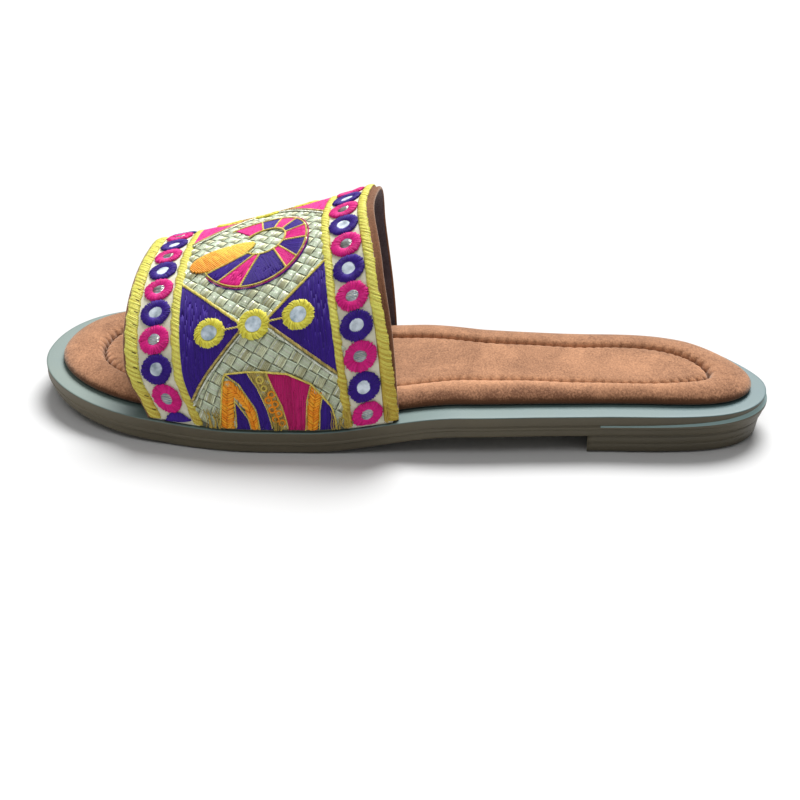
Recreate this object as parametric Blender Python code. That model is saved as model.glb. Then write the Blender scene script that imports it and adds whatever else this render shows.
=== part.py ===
"""Embroidered slide sandal, left shoe, toe along -X and outer side along -Y.

A moulded rubber sole unit, a padded suede footbed glued on it, and one wide
strap over the instep with raised stitched bands and rows of small mirrors.
Lengths below are in millimetres and become metres when a mesh is made.
"""
import math

import bmesh
import bpy
import mathutils

MM = 0.001

# Sole plan: distance from the toe tip, half width to the inner and outer side.
LENGTH = 255.0
OUTLINE = {
    "from_toe": (0.0, 45.0, 75.0, 100.0, 130.0, 155.0, 180.0, 205.0, 225.0, 255.0),
    "medial": (46.5, 45.5, 45.2, 45.6, 41.3, 35.4, 36.3, 38.8, 39.4, 28.0),
    "lateral": (42.1, 45.8, 48.6, 46.0, 41.8, 38.4, 33.7, 29.7, 28.1, 31.0),
}
TOE_ROUND = {"medial": 40.5, "lateral": 49.2}
HEEL_ROUND = {"medial": 49.0, "lateral": 40.7}
ROUND_POWER = 2.1
CENTRE_SHIFT = (48.6 - 45.6) / 2.0

# Sole height: toe spring of the flange and of the thinning tread, flat tread
# under the ball, arch, low heel block.
PLATE_THICK = 7.6
TOE_SPRING = 4.5
TOE_FROM = 75.0
TREAD_SPRING = 6.0
TREAD_FROM = 62.0
TREAD_TO = 100.0
ARCH_END = 152.0
ARCH_RISE = 6.1
BREAST = 194.0
HEEL_PITCH = 0.8

# Strap: edge positions from the toe tip, by place round the arch
# (-1 outer foot of the strap, 0 ridge, 1 inner foot).
STRAP_EDGE = {
    "round_arch": (-1.0, -0.8, -0.5, 0.0, 0.5, 1.0),
    "front": (47.9, 39.4, 36.4, 34.4, 32.2, 45.9),
    "back": (131.5, 128.6, 122.3, 114.5, 115.3, 121.0),
}
STRAP_WALL = 2.4
STRAP_POWER = 2.43
STRAP_HEIGHT_FRONT = 37.8
STRAP_HEIGHT_BACK = 62.4
RIDGE_SHIFT_FRONT = 9.9
RIDGE_SHIFT_BACK = 17.1
STRAP_REF_FRONT = 37.5
STRAP_REF_BACK = 112.5
STRAP_INSET_OUTER = 1.0
STRAP_INSET_INNER = 1.4
SEAT_GAP = 0.25
STRAP_LEAD = 0.016
LINING_EDGE = 0.976
LINING_STEP = 1.0

# Stitched bands and mirror rows: place across the strap. The back edge is at 1,
# and the front edge stands STRAP_LEAD ahead of 0.
BANDS = {
    "band_front_outer": (-0.009, 0.048),
    "band_front_inner": (0.184, 0.223),
    "band_back_inner": (0.786, 0.819),
    "band_back_outer": (0.941, 0.974),
}
BAND_LIFT = 0.25
BAND_HEIGHT = 0.8
MIRROR_PITCH = 10.2
RIM_ALONG = 5.0
RIM_ACROSS = 5.2
RIM_ACROSS_SHARE = 0.0585


def srgb(red, green, blue):
    """Colour given as 0 to 255 screen values."""
    out = []
    for value in (red, green, blue):
        share = value / 255.0
        if share <= 0.04045:
            out.append(share / 12.92)
        else:
            out.append(((share + 0.055) / 1.055) ** 2.4)
    return (*out, 1.0)


def make_material(name, colour, roughness, metallic=0.0):
    material = bpy.data.materials.new(name)
    material.use_nodes = True
    shader = material.node_tree.nodes["Principled BSDF"]
    shader.inputs["Base Color"].default_value = colour
    shader.inputs["Roughness"].default_value = roughness
    shader.inputs["Metallic"].default_value = metallic
    material.diffuse_color = colour
    return material


def make_solid(name, points, faces, material):
    """One closed body from points in millimetres, faces turned outward."""
    mesh = bpy.data.meshes.new(name)
    mesh.from_pydata([tuple(c * MM for c in point) for point in points], [], faces)
    body = bmesh.new()
    body.from_mesh(mesh)
    bmesh.ops.triangulate(body, faces=body.faces)
    bmesh.ops.recalc_face_normals(body, faces=body.faces)
    body.to_mesh(mesh)
    body.free()
    mesh.materials.append(material)
    part = bpy.data.objects.new(name, mesh)
    collection.objects.link(part)
    return part


def along(table, key, name, place):
    """Smooth curve through one column of a table, without overshoot."""
    xs = table[key]
    ys = table[name]
    last = len(xs) - 1
    place = min(max(place, xs[0]), xs[last])
    steps = [(ys[i + 1] - ys[i]) / (xs[i + 1] - xs[i]) for i in range(last)]
    slopes = [steps[0]]
    for i in range(1, last):
        a, b = steps[i - 1], steps[i]
        slopes.append(2.0 * a * b / (a + b) if a * b > 0.0 else 0.0)
    slopes.append(steps[-1])
    i = 0
    while i < last - 1 and place > xs[i + 1]:
        i += 1
    wide = xs[i + 1] - xs[i]
    u = (place - xs[i]) / wide
    return (
        (1.0 + 2.0 * u) * (1.0 - u) ** 2 * ys[i]
        + u * (1.0 - u) ** 2 * wide * slopes[i]
        + u * u * (3.0 - 2.0 * u) * ys[i + 1]
        + u * u * (u - 1.0) * wide * slopes[i + 1]
    )


def end_round(depth, reach):
    """Half width share near a rounded end, 0 at the tip and 1 past reach."""
    if depth >= reach:
        return 1.0
    return max(0.0, 1.0 - (1.0 - depth / reach) ** ROUND_POWER) ** (1.0 / ROUND_POWER)


def half_width(side, s, inset):
    share = end_round(s - inset, TOE_ROUND[side] - inset)
    share *= end_round(LENGTH - inset - s, HEEL_ROUND[side] - inset)
    return (along(OUTLINE, "from_toe", side, s) - inset) * share


def arch_lift(s):
    """Rise of the whole sole plate behind the ball: arch, then the heel's pitch."""
    u = min(max((s - TREAD_TO) / (ARCH_END - TREAD_TO), 0.0), 1.0)
    lift = ARCH_RISE * u * u * (3.0 - 2.0 * u)
    return lift + HEEL_PITCH * max(0.0, (s - BREAST) / (LENGTH - BREAST))


def plate_bottom(s):
    """Height of the underside of the sole plate above the floor."""
    return TREAD_SPRING * max(0.0, 1.0 - s / TREAD_FROM) ** 1.6 + arch_lift(s)


def plate_top(s):
    """Height of the flange; the plate thins a little toward the toe tip."""
    return PLATE_THICK + TOE_SPRING * max(0.0, 1.0 - s / TOE_FROM) ** 1.5 + arch_lift(s)


# Columns round the outline: toe tip, inner side, heel tip, outer side back to the toe.
SPANS = 44
STATIONS = [LENGTH * (1.0 - math.cos(math.pi * i / SPANS)) / 2.0 for i in range(SPANS + 1)]
BREAST_AT = min(range(SPANS + 1), key=lambda i: abs(STATIONS[i] - BREAST))
STATIONS[BREAST_AT] = BREAST
COLUMNS = 2 * SPANS
END_REACH = 60.0


def outline_row(inset, height):
    """Ring of points: inset(s, side) in from the sole's edge, at height(s)."""
    row = []
    for column in range(COLUMNS):
        station = STATIONS[column] if column <= SPANS else STATIONS[COLUMNS - column]
        side = "medial" if column <= SPANS else "lateral"
        d = inset(station, side)
        s = station + d * max(0.0, 1.0 - station / END_REACH)
        s -= d * max(0.0, 1.0 - (LENGTH - station) / END_REACH)
        if column in (0, SPANS):
            y = 0.0
        else:
            y = half_width(side, s, d) * (1.0 if side == "medial" else -1.0)
        row.append((s - LENGTH / 2.0, y + CENTRE_SHIFT, height(s)))
    return row


def cap_faces(first, start, stop):
    """Faces across a ring between two stations, inner side to outer side."""
    faces = []
    for i in range(start, stop):
        ring = [first + i, first + i + 1]
        if i + 1 < SPANS:
            ring.append(first + COLUMNS - i - 1)
        if i > 0:
            ring.append(first + COLUMNS - i)
        faces.append(tuple(ring))
    return faces


def band_faces(upper, lower, columns, closed):
    """Side faces between two rings given by their first point."""
    faces = []
    for j in range(columns if closed else columns - 1):
        k = (j + 1) % columns
        faces.append((upper + j, upper + k, lower + k, lower + j))
    return faces


def toe_share(s):
    return max(0.0, 1.0 - s / 40.0)


def heel_share(s):
    return max(0.0, 1.0 - (LENGTH - s) / 45.0)


for old in list(bpy.data.objects):
    bpy.data.objects.remove(old)
collection = bpy.data.collections.new("embroidered_sandal")
bpy.context.scene.collection.children.link(collection)

RUBBER = make_material("rubber_olive", srgb(74, 72, 60), 0.62)
SUEDE = make_material("suede_brown", srgb(158, 104, 72), 0.92)
CLOTH = make_material("cloth_metal_thread", srgb(182, 180, 146), 0.48, 0.25)
YELLOW = make_material("thread_yellow", srgb(222, 200, 62), 0.55)
PURPLE = make_material("thread_purple", srgb(54, 28, 122), 0.58)
PINK = make_material("thread_pink", srgb(214, 44, 146), 0.58)

# Outsole: one moulded rubber unit. The flange band and the lip line run all
# round; below the plate only the heel columns go on, down to the floor.
PLATE_SIDE = {
    "inset_ball": (0.3, 0.0, 0.3, 0.05, 0.0, 0.25, 0.3, 0.9),
    "inset_heel": (0.3, 0.0, 0.8, 0.05, 0.05, 0.7, 0.9, 1.6),
    "share": (0.0, 0.033, 0.474, 0.507, 0.605, 0.645, 0.908, 1.0),
}
LIP_FROM = 110.0
LIP_FULL = 210.0
HEEL_SIDE = {
    "inset": (1.2, 1.3, 1.8, 1.4, 1.6, 2.4),
    "drop": (0.09, 0.42, 0.47, 0.53, 0.88, 1.0),
}
END_DRAFT = 1.6


def lip_share(s):
    """The lip line is faint at the ball and grows toward the heel."""
    return min(max((s - LIP_FROM) / (LIP_FULL - LIP_FROM), 0.0), 1.0)


points = []
faces = []
rows = []
for ball, heel, share in zip(*PLATE_SIDE.values()):
    rows.append(len(points))
    points += outline_row(
        lambda s, side: ball + (heel - ball) * lip_share(s)
        + END_DRAFT * share * (0.8 * toe_share(s) + 0.6 * heel_share(s)),
        lambda s: plate_top(s) + (plate_bottom(s) - plate_top(s)) * share,
    )
for upper, lower in zip(rows, rows[1:]):
    faces += band_faces(upper, lower, COLUMNS, True)
faces += cap_faces(rows[0], 0, SPANS)
faces += cap_faces(rows[-1], 0, BREAST_AT)
heel_columns = COLUMNS - 2 * BREAST_AT + 1
above = rows[-1] + BREAST_AT
for step, drop in zip(HEEL_SIDE["inset"], HEEL_SIDE["drop"]):
    row = outline_row(
        lambda s, side: step + END_DRAFT * (0.6 + 0.5 * drop) * heel_share(s),
        lambda s: plate_bottom(s) * (1.0 - drop),
    )
    below = len(points)
    points += row[BREAST_AT:BREAST_AT + heel_columns]
    faces += band_faces(above, below, heel_columns, False)
    faces.append((above, below, below + heel_columns - 1, above + heel_columns - 1))
    above = below
for i in range(SPANS - BREAST_AT):
    j = heel_columns - 1 - i
    ring = [above + i, above + i + 1]
    if i + 1 < j - 1:
        ring.append(above + j - 1)
    ring.append(above + j)
    faces.append(tuple(ring))
make_solid("outsole", points, faces, RUBBER)

# Footbed: foam under suede with a rolled edge, a stitched channel and a soft
# pillow inside the channel. Heights are above the top of the sole plate. The
# bare flange and the roll are wider or narrower by side and toward the ends.
FOOTBED = {
    "in_from_edge": (1.4, 0.5, 0.0, 0.2, 0.9, 2.2, 4.5, 7.5, 10.4, 12.0, 12.7, 13.5, 15.0, 18.0),
    "height": (0.25, 0.7, 1.4, 2.1, 2.8, 3.5, 4.15, 4.4, 4.2, 3.6, 3.3, 3.6, 4.1, 4.4),
}
FLANGE = {
    "from_toe": (0.0, 40.0, 100.0, 150.0, 215.0, 255.0),
    "medial": (6.0, 6.0, 6.0, 6.0, 6.0, 6.0),
    "lateral": (6.0, 8.0, 8.9, 8.9, 8.9, 6.0),
}
ROLL_SHARE = {
    "from_toe": (0.0, 40.0, 100.0, 150.0, 215.0, 255.0),
    "medial": (1.15, 1.0, 1.0, 1.0, 1.0, 1.15),
    "lateral": (1.15, 1.0, 1.05, 1.05, 0.75, 1.15),
}
points = []
faces = []
rows = []
for step, up in zip(FOOTBED["in_from_edge"], FOOTBED["height"]):
    rows.append(len(points))
    points += outline_row(
        lambda s, side: along(FLANGE, "from_toe", side, s)
        + step * along(ROLL_SHARE, "from_toe", side, s),
        lambda s: plate_top(s) + up,
    )
for lower, upper in zip(rows, rows[1:]):
    faces += band_faces(upper, lower, COLUMNS, True)
faces += cap_faces(rows[0], 0, SPANS)
faces += cap_faces(rows[-1], 0, SPANS)
make_solid("footbed", points, faces, SUEDE)


def strap_face(across, place):
    """Outer face of the strap: across 0 front to 1 back, place -1 to 1 over the arch."""
    front = along(STRAP_EDGE, "round_arch", "front", place)
    back = along(STRAP_EDGE, "round_arch", "back", place)
    s = front + (back - front) * across
    u = (s - STRAP_REF_FRONT) / (STRAP_REF_BACK - STRAP_REF_FRONT)
    height = STRAP_HEIGHT_FRONT + (STRAP_HEIGHT_BACK - STRAP_HEIGHT_FRONT) * u
    shift = RIDGE_SHIFT_FRONT + (RIDGE_SHIFT_BACK - RIDGE_SHIFT_FRONT) * u
    inner = half_width("medial", s, 0.0) - STRAP_INSET_INNER
    outer = -half_width("lateral", s, 0.0) + STRAP_INSET_OUTER
    turn = place * math.pi / 2.0
    side = math.copysign(abs(math.sin(turn)) ** (2.0 / STRAP_POWER), turn)
    rise = max(0.0, math.cos(turn))
    y = (inner + outer) / 2.0 + (inner - outer) / 2.0 * side + shift * rise ** 1.5
    z = plate_top(s) + SEAT_GAP + height * rise ** (2.0 / STRAP_POWER)
    return (s - LENGTH / 2.0, y + CENTRE_SHIFT, z)


def minus(a, b):
    return (a[0] - b[0], a[1] - b[1], a[2] - b[2])


def length_of(a):
    return math.sqrt(a[0] * a[0] + a[1] * a[1] + a[2] * a[2])


def strap_point(across, place, lift):
    """Point at a distance from the strap's outer face, outward when lift is positive."""
    inside = min(max(place, -0.998), 0.998)
    here = strap_face(across, place)
    a = minus(strap_face(across + 0.002, inside), strap_face(across - 0.002, inside))
    b = minus(strap_face(across, inside + 0.002), strap_face(across, inside - 0.002))
    normal = (
        a[1] * b[2] - a[2] * b[1],
        a[2] * b[0] - a[0] * b[2],
        a[0] * b[1] - a[1] * b[0],
    )
    size = length_of(normal)
    normal = tuple(c / size for c in normal)
    if abs(place) > 0.999:
        flat = math.hypot(normal[0], normal[1])
        normal = (normal[0] / flat, normal[1] / flat, 0.0)
    point = [h + lift * n for h, n in zip(here, normal)]
    if abs(place) > 0.999:
        point[2] = plate_top(point[0] + LENGTH / 2.0) + SEAT_GAP
    return tuple(point)


def arc_places(across, count, reach=1.0):
    """Places round the arch that split it into equal lengths."""
    fine = [reach * (2.0 * i / 400 - 1.0) for i in range(401)]
    run = [0.0]
    for a, b in zip(fine, fine[1:]):
        run.append(run[-1] + length_of(minus(strap_face(across, b), strap_face(across, a))))
    places = []
    i = 0
    for k in range(count + 1):
        goal = run[-1] * k / count
        while i < 399 and run[i + 1] < goal:
            i += 1
        part = (goal - run[i]) / (run[i + 1] - run[i])
        places.append(fine[i] + (fine[i + 1] - fine[i]) * part)
    return places


def strap_sweep(name, loop, places, material):
    """Solid whose cut across the strap is a loop of (across, lift) points."""
    points = []
    faces = []
    count = len(loop)
    for place in places:
        points += [strap_point(across, place, lift) for across, lift in loop]
    for k in range(len(places) - 1):
        faces += band_faces(k * count, (k + 1) * count, count, True)
    faces.append(tuple(range(count)))
    faces.append(tuple(range(len(points) - count, len(points))))
    make_solid(name, points, faces, material)


# Strap: one hollow arch of even wall. The lining stands out past the outer
# cloth along the back edge, which is the step near the end of the loop.
ACROSS = [0.1 * i for i in range(1, 10)]
STRAP_LOOP = [(-STRAP_LEAD, -1.6), (-STRAP_LEAD, -0.8), (0.007 - STRAP_LEAD, 0.0)]
STRAP_LOOP += [(across, 0.0) for across in ACROSS]
STRAP_LOOP += [(LINING_EDGE, 0.0), (LINING_EDGE, -LINING_STEP), (0.996, -LINING_STEP)]
STRAP_LOOP += [(1.0, -1.4), (1.0, -2.0), (0.996, -STRAP_WALL)]
STRAP_LOOP += [(across, -STRAP_WALL) for across in reversed(ACROSS)]
STRAP_LOOP += [(0.007 - STRAP_LEAD, -STRAP_WALL)]
strap_sweep("strap", STRAP_LOOP, arc_places(0.5, 44), CLOTH)

# Stitched bands: thick yellow satin stitch that stands up from the cloth.
for name, (start, stop) in BANDS.items():
    low = BAND_LIFT
    top = BAND_LIFT + BAND_HEIGHT
    edge = 0.2 * (stop - start)
    loop = [(start, low), (start, 0.6 * top), (start + edge, top)]
    loop += [(stop - edge, top), (stop, 0.6 * top), (stop, low)]
    strap_sweep(name, loop, arc_places(0.5 * (start + stop), 34, 0.995), YELLOW)


def place_at(across, distance):
    """Place round the arch at a distance from the ridge, positive to the outer side."""
    step = -0.0025 if distance > 0.0 else 0.0025
    place = 0.0
    run = 0.0
    here = strap_face(across, place)
    while run < abs(distance):
        place += step
        there = strap_face(across, place)
        run += length_of(minus(there, here))
        here = there
    return place


# Mirrors: a small round glass held by a stitched rim, one body each, shaped to
# the strap under it. The profile runs from the underside out, over the rim and
# in to the glass.
RIM_PROFILE = {
    "share": (1.0, 1.0, 0.74, 0.5),
    "lift": (0.25, 0.6, 1.35, 0.85),
}
RIM_SIDES = 12


def make_mirror(name, across, distance, tall, material):
    centre = place_at(across, distance)
    by_across = length_of(
        minus(strap_face(across + 0.01, centre), strap_face(across - 0.01, centre))
    ) / 0.02
    by_place = length_of(
        minus(strap_face(across, centre + 0.01), strap_face(across, centre - 0.01))
    ) / 0.02
    points = [strap_point(across, centre, RIM_PROFILE["lift"][0])]
    for share, lift in zip(RIM_PROFILE["share"], RIM_PROFILE["lift"]):
        for k in range(RIM_SIDES):
            turn = 2.0 * math.pi * k / RIM_SIDES
            sideways = share * min(RIM_ACROSS / by_across, RIM_ACROSS_SHARE) * math.cos(turn)
            upward = share * tall * math.sin(turn) / by_place
            points.append(strap_point(across + sideways, centre + upward, lift))
    points.append(strap_point(across, centre, RIM_PROFILE["lift"][-1]))
    faces = []
    rings = [1 + RIM_SIDES * k for k in range(len(RIM_PROFILE["share"]))]
    for k in range(RIM_SIDES):
        n = (k + 1) % RIM_SIDES
        faces.append((0, rings[0] + n, rings[0] + k))
        faces.append((len(points) - 1, rings[-1] + k, rings[-1] + n))
    for low, high in zip(rings, rings[1:]):
        faces += band_faces(high, low, RIM_SIDES, True)
    make_solid(name, points, faces, material)


MIRROR_ROWS = {
    "name": ("front", "back"),
    "across": (0.118, 0.880),
    "first": (-0.96, -1.24),
    "inner_side": (-5, -7),
    "outer_side": (7, 9),
}
# The lowest mirror of the back row is squeezed against the sole.
LOWEST = 89.9
LOWEST_TALL = 4.2
for r, row_name in enumerate(MIRROR_ROWS["name"]):
    number = 0
    for k in range(MIRROR_ROWS["inner_side"][r], MIRROR_ROWS["outer_side"][r] + 1):
        number += 1
        distance = MIRROR_ROWS["first"][r] + MIRROR_PITCH * k
        tall = RIM_ALONG
        if distance > LOWEST:
            distance = LOWEST
            tall = LOWEST_TALL
        thread = PURPLE if k % 2 == 0 else PINK
        name = f"mirror_{row_name}_{number:02d}"
        make_mirror(name, MIRROR_ROWS["across"][r], distance, tall, thread)

# Three yellow rimmed mirrors lie along the waist of each purple bow.
BOWS = {
    "name": ("outer", "inner"),
    "distance": (51.3, -17.0),
}
BOW_ACROSS = (0.338, 0.508, 0.676)
for bow_name, distance in zip(BOWS["name"], BOWS["distance"]):
    for number, across in enumerate(BOW_ACROSS, start=1):
        name = f"mirror_bow_{bow_name}_{number:02d}"
        make_mirror(name, across, distance, RIM_ALONG, YELLOW)

# The origin is on the floor under the middle of the whole shoe.
corners = [vertex.co for part in collection.objects for vertex in part.data.vertices]
centre_x = 0.5 * (min(c.x for c in corners) + max(c.x for c in corners))
centre_y = 0.5 * (min(c.y for c in corners) + max(c.y for c in corners))
for part in collection.objects:
    part.data.transform(mathutils.Matrix.Translation((-centre_x, -centre_y, 0.0)))
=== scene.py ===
"""Embroidered slide sandal, left shoe: the looks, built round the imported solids.

Toe along -X, outer side along -Y, floor at z = 0. Sizes are in millimetres and
become metres when a mesh is made.
"""
import math

import bpy
import numpy as np
from mathutils import Matrix, Vector


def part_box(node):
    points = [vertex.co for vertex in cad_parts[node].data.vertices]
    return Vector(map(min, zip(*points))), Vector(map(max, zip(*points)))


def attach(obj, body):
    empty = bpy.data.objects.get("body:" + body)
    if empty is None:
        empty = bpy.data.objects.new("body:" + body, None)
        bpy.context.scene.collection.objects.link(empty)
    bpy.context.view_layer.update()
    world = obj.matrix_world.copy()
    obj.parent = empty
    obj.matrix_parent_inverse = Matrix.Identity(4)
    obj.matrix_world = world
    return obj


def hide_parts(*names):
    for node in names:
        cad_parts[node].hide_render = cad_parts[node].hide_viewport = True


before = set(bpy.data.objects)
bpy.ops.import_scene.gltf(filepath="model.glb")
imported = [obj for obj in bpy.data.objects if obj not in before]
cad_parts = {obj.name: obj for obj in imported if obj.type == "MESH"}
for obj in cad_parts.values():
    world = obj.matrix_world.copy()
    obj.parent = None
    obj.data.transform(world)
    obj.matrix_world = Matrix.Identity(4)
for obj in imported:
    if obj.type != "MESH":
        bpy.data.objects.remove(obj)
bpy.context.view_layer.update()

# Studio: a pale floor that runs out of the picture, broad soft daylight from above
# and behind the shoe, a weak fill from the front, and a white room round it.
# The camera stands low on the outer side, a little toward the heel.


class Sock:
    """A shader socket: operators add Math nodes, add() makes any other node."""

    def __init__(self, tree, out=None):
        self.tree = tree
        self.out = out

    def add(self, kind, settings=None, inputs=None, output=0):
        node = self.tree.nodes.new(kind)
        for name, value in (settings or {}).items():
            setattr(node, name, value)
        for name, value in (inputs or {}).items():
            if isinstance(value, Sock):
                self.tree.links.new(value.out, node.inputs[name])
            else:
                node.inputs[name].default_value = value
        return Sock(self.tree, node.outputs[output])

    def math(self, operation, *values, clamp=False):
        settings = {"operation": operation, "use_clamp": clamp}
        return self.add("ShaderNodeMath", settings, dict(enumerate(values)))

    def __add__(self, other):
        return self.math("ADD", self, other)

    def __sub__(self, other):
        return self.math("SUBTRACT", self, other)

    def __mul__(self, other):
        return self.math("MULTIPLY", self, other)

    def __rsub__(self, other):
        return self.math("SUBTRACT", other, self)

    __radd__ = __add__
    __rmul__ = __mul__

    def clamp(self):
        return self.math("ADD", self, 0.0, clamp=True)

    def mix(self, share, first, second):
        return self.add(
            "ShaderNodeMix", {"data_type": "RGBA"}, {0: share, 6: first, 7: second}, 2
        )


def screen(red, green, blue):
    """Colour given as 0 to 255 screen values."""
    out = []
    for value in (red, green, blue):
        share = value / 255.0
        out.append(share / 12.92 if share <= 0.04045 else ((share + 0.055) / 1.055) ** 2.4)
    return (*out, 1.0)


def new_finish(name):
    material = bpy.data.materials.new(name)
    material.use_nodes = True
    return material, Sock(material.node_tree)


def set_finish(material, **values):
    """Sets or links the shader's own sockets, named with _ for a space."""
    shader = material.node_tree.nodes["Principled BSDF"]
    for name, value in values.items():
        socket = shader.inputs[name.replace("_", " ")]
        if isinstance(value, Sock):
            material.node_tree.links.new(value.out, socket)
        else:
            socket.default_value = value
    return material


scene = bpy.context.scene
scene.view_settings.view_transform = "Standard"
world = bpy.data.worlds.new("white_room")
world.use_nodes = True
world.node_tree.nodes["Background"].inputs["Color"].default_value = (1.0, 1.0, 1.0, 1.0)
world.node_tree.nodes["Background"].inputs["Strength"].default_value = 0.3
scene.world = world

FLOOR_HALF = 9.0
FLOOR_DROP = 0.0003
floor_corners = [
    (FLOOR_HALF * x, FLOOR_HALF * y, -FLOOR_DROP) for x, y in ((-1, -1), (1, -1), (1, 1), (-1, 1))
]
floor_mesh = bpy.data.meshes.new("floor")
floor_mesh.from_pydata(floor_corners, [], [(0, 1, 2, 3)])
floor = bpy.data.objects.new("floor", floor_mesh)
scene.collection.objects.link(floor)
floor_paint, _ = new_finish("floor_paint")
set_finish(floor_paint, Base_Color=(0.6, 0.6, 0.6, 1.0), Roughness=0.9)
floor_mesh.materials.append(floor_paint)

DAYLIGHT_FROM = (0.10, 0.80, 1.10)
FILL_FROM = (-0.30, -0.75, 1.50)
LAMP_AIM = Vector((0.0, 0.0, 0.03))
daylight = bpy.data.lights.new("daylight", "SUN")
daylight.energy = 5.2
daylight.angle = math.radians(34.0)
fill_lamp = bpy.data.lights.new("fill", "AREA")
fill_lamp.energy = 5.0
fill_lamp.size = 0.9
for lamp, place in ((daylight, DAYLIGHT_FROM), (fill_lamp, FILL_FROM)):
    holder = bpy.data.objects.new(lamp.name, lamp)
    holder.location = place
    aim = LAMP_AIM - Vector(place)
    holder.rotation_euler = aim.to_track_quat("-Z", "Y").to_euler()
    scene.collection.objects.link(holder)

CAMERA_UP = math.radians(24.32)
CAMERA_ROUND = math.radians(6.55)
CAMERA_ROLL = math.radians(1.16)
CAMERA_AWAY = 0.6
CAMERA_LENS = 76.7
CAMERA_SENSOR = 36.0
CAMERA_SHIFT = (-0.003, -0.0637)
CAMERA_AIM = Vector((0.0, 0.0008, 0.02))
back = Vector((
    math.sin(CAMERA_ROUND) * math.cos(CAMERA_UP),
    -math.cos(CAMERA_ROUND) * math.cos(CAMERA_UP),
    math.sin(CAMERA_UP),
))
level = Vector((math.cos(CAMERA_ROUND), math.sin(CAMERA_ROUND), 0.0))
upright = back.cross(level)
right = level * math.cos(CAMERA_ROLL) + upright * math.sin(CAMERA_ROLL)
upright = back.cross(right)
eye = bpy.data.cameras.new("camera")
eye.lens = CAMERA_LENS
eye.sensor_width = CAMERA_SENSOR
eye.shift_x, eye.shift_y = CAMERA_SHIFT
eye.clip_start = 0.05
camera = bpy.data.objects.new("camera", eye)
camera.matrix_world = Matrix.Translation(CAMERA_AIM + back * CAMERA_AWAY) @ Matrix(
    (right, upright, back)
).transposed().to_4x4()
scene.collection.objects.link(camera)
scene.camera = camera

# Sole unit: moulded olive rubber in one piece. A flat flange stands out round
# the footbed, a lip line runs round the side, and a low heel block with fine
# grooves carries the back.
LENGTH = 255.0
FROM_TOE = (0.0, 45.0, 75.0, 100.0, 130.0, 155.0, 180.0, 205.0, 225.0, 255.0)
HALF_WIDTH = {
    "medial": (46.5, 45.5, 45.2, 45.6, 41.3, 35.4, 36.3, 38.8, 39.4, 28.0),
    "lateral": (42.1, 45.8, 48.6, 46.0, 41.8, 38.4, 33.7, 29.7, 28.1, 31.0),
}
WIDEST = {"medial": 45.6, "lateral": 48.6}
TOE_ROUND = {"medial": 40.5, "lateral": 49.2}
HEEL_ROUND = {"medial": 49.0, "lateral": 40.7}
ROUND_POWER = 2.1
ROUND_REACH = 60.0
END_CROWDING = 0.6
PLATE_THICK = 7.6
BREAST = 194.0
ARCH = {"from": 100.0, "run": 52.0, "rise": 6.1}
HEEL_PITCH = 0.8
TOE_SPRING = {
    "bottom": {"rise": 6.0, "run": 62.0, "power": 1.6},
    "top": {"rise": 4.5, "run": 75.0, "power": 1.5},
}
MM = 0.001
sole_low, sole_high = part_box("outsole")
SIDE_SHIFT = (WIDEST["lateral"] - WIDEST["medial"]) / 2.0 + (sole_low.y + sole_high.y) / (2.0 * MM)


def fair(xs, ys, at):
    """Smooth curve through a short table, without overshoot."""
    xs = np.asarray(xs, float)
    ys = np.asarray(ys, float)
    step = np.diff(ys) / np.diff(xs)
    product = step[:-1] * step[1:]
    total = step[:-1] + step[1:]
    inner = np.where(product > 0.0, 2.0 * product / np.where(total == 0.0, 1.0, total), 0.0)
    slope = np.concatenate([step[:1], inner, step[-1:]])
    at = np.clip(at, xs[0], xs[-1])
    i = np.clip(np.searchsorted(xs, at, side="right") - 1, 0, len(xs) - 2)
    wide = xs[i + 1] - xs[i]
    u = (at - xs[i]) / wide
    return (
        (1.0 + 2.0 * u) * (1.0 - u) ** 2 * ys[i]
        + u * (1.0 - u) ** 2 * wide * slope[i]
        + u * u * (3.0 - 2.0 * u) * ys[i + 1]
        + u * u * (u - 1.0) * wide * slope[i + 1]
    )


def end_round(depth, reach):
    open_share = np.clip(1.0 - depth / reach, 0.0, 1.0)
    return (1.0 - open_share ** ROUND_POWER) ** (1.0 / ROUND_POWER)


def half_width(side, s, inset):
    share = end_round(s - inset, TOE_ROUND[side] - inset)
    share = share * end_round(LENGTH - inset - s, HEEL_ROUND[side] - inset)
    return (fair(FROM_TOE, HALF_WIDTH[side], s) - inset) * share


def arch_lift(s):
    """Rise of the whole sole plate behind the ball: arch, then the heel's pitch."""
    u = np.clip((s - ARCH["from"]) / ARCH["run"], 0.0, 1.0)
    pitch = HEEL_PITCH * np.clip((s - BREAST) / (LENGTH - BREAST), 0.0, None)
    return ARCH["rise"] * u * u * (3.0 - 2.0 * u) + pitch


def toe_spring(s, rise, run, power):
    return rise * np.clip(1.0 - s / run, 0.0, None) ** power


def plate_bottom(s):
    return toe_spring(s, **TOE_SPRING["bottom"]) + arch_lift(s)


def plate_top(s):
    return PLATE_THICK + toe_spring(s, **TOE_SPRING["top"]) + arch_lift(s)


def stations(spans):
    """Places along the sole, closer together at the rounded ends."""
    i = np.arange(spans + 1) / spans
    crowded = (1.0 - np.cos(np.pi * i)) / 2.0
    eased = 3.0 * i * i - 2.0 * i ** 3
    places = LENGTH * (END_CROWDING * crowded + (1.0 - END_CROWDING) * eased)
    at = int(np.argmin(abs(places - BREAST)))
    places[at] = BREAST
    return places, at


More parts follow.
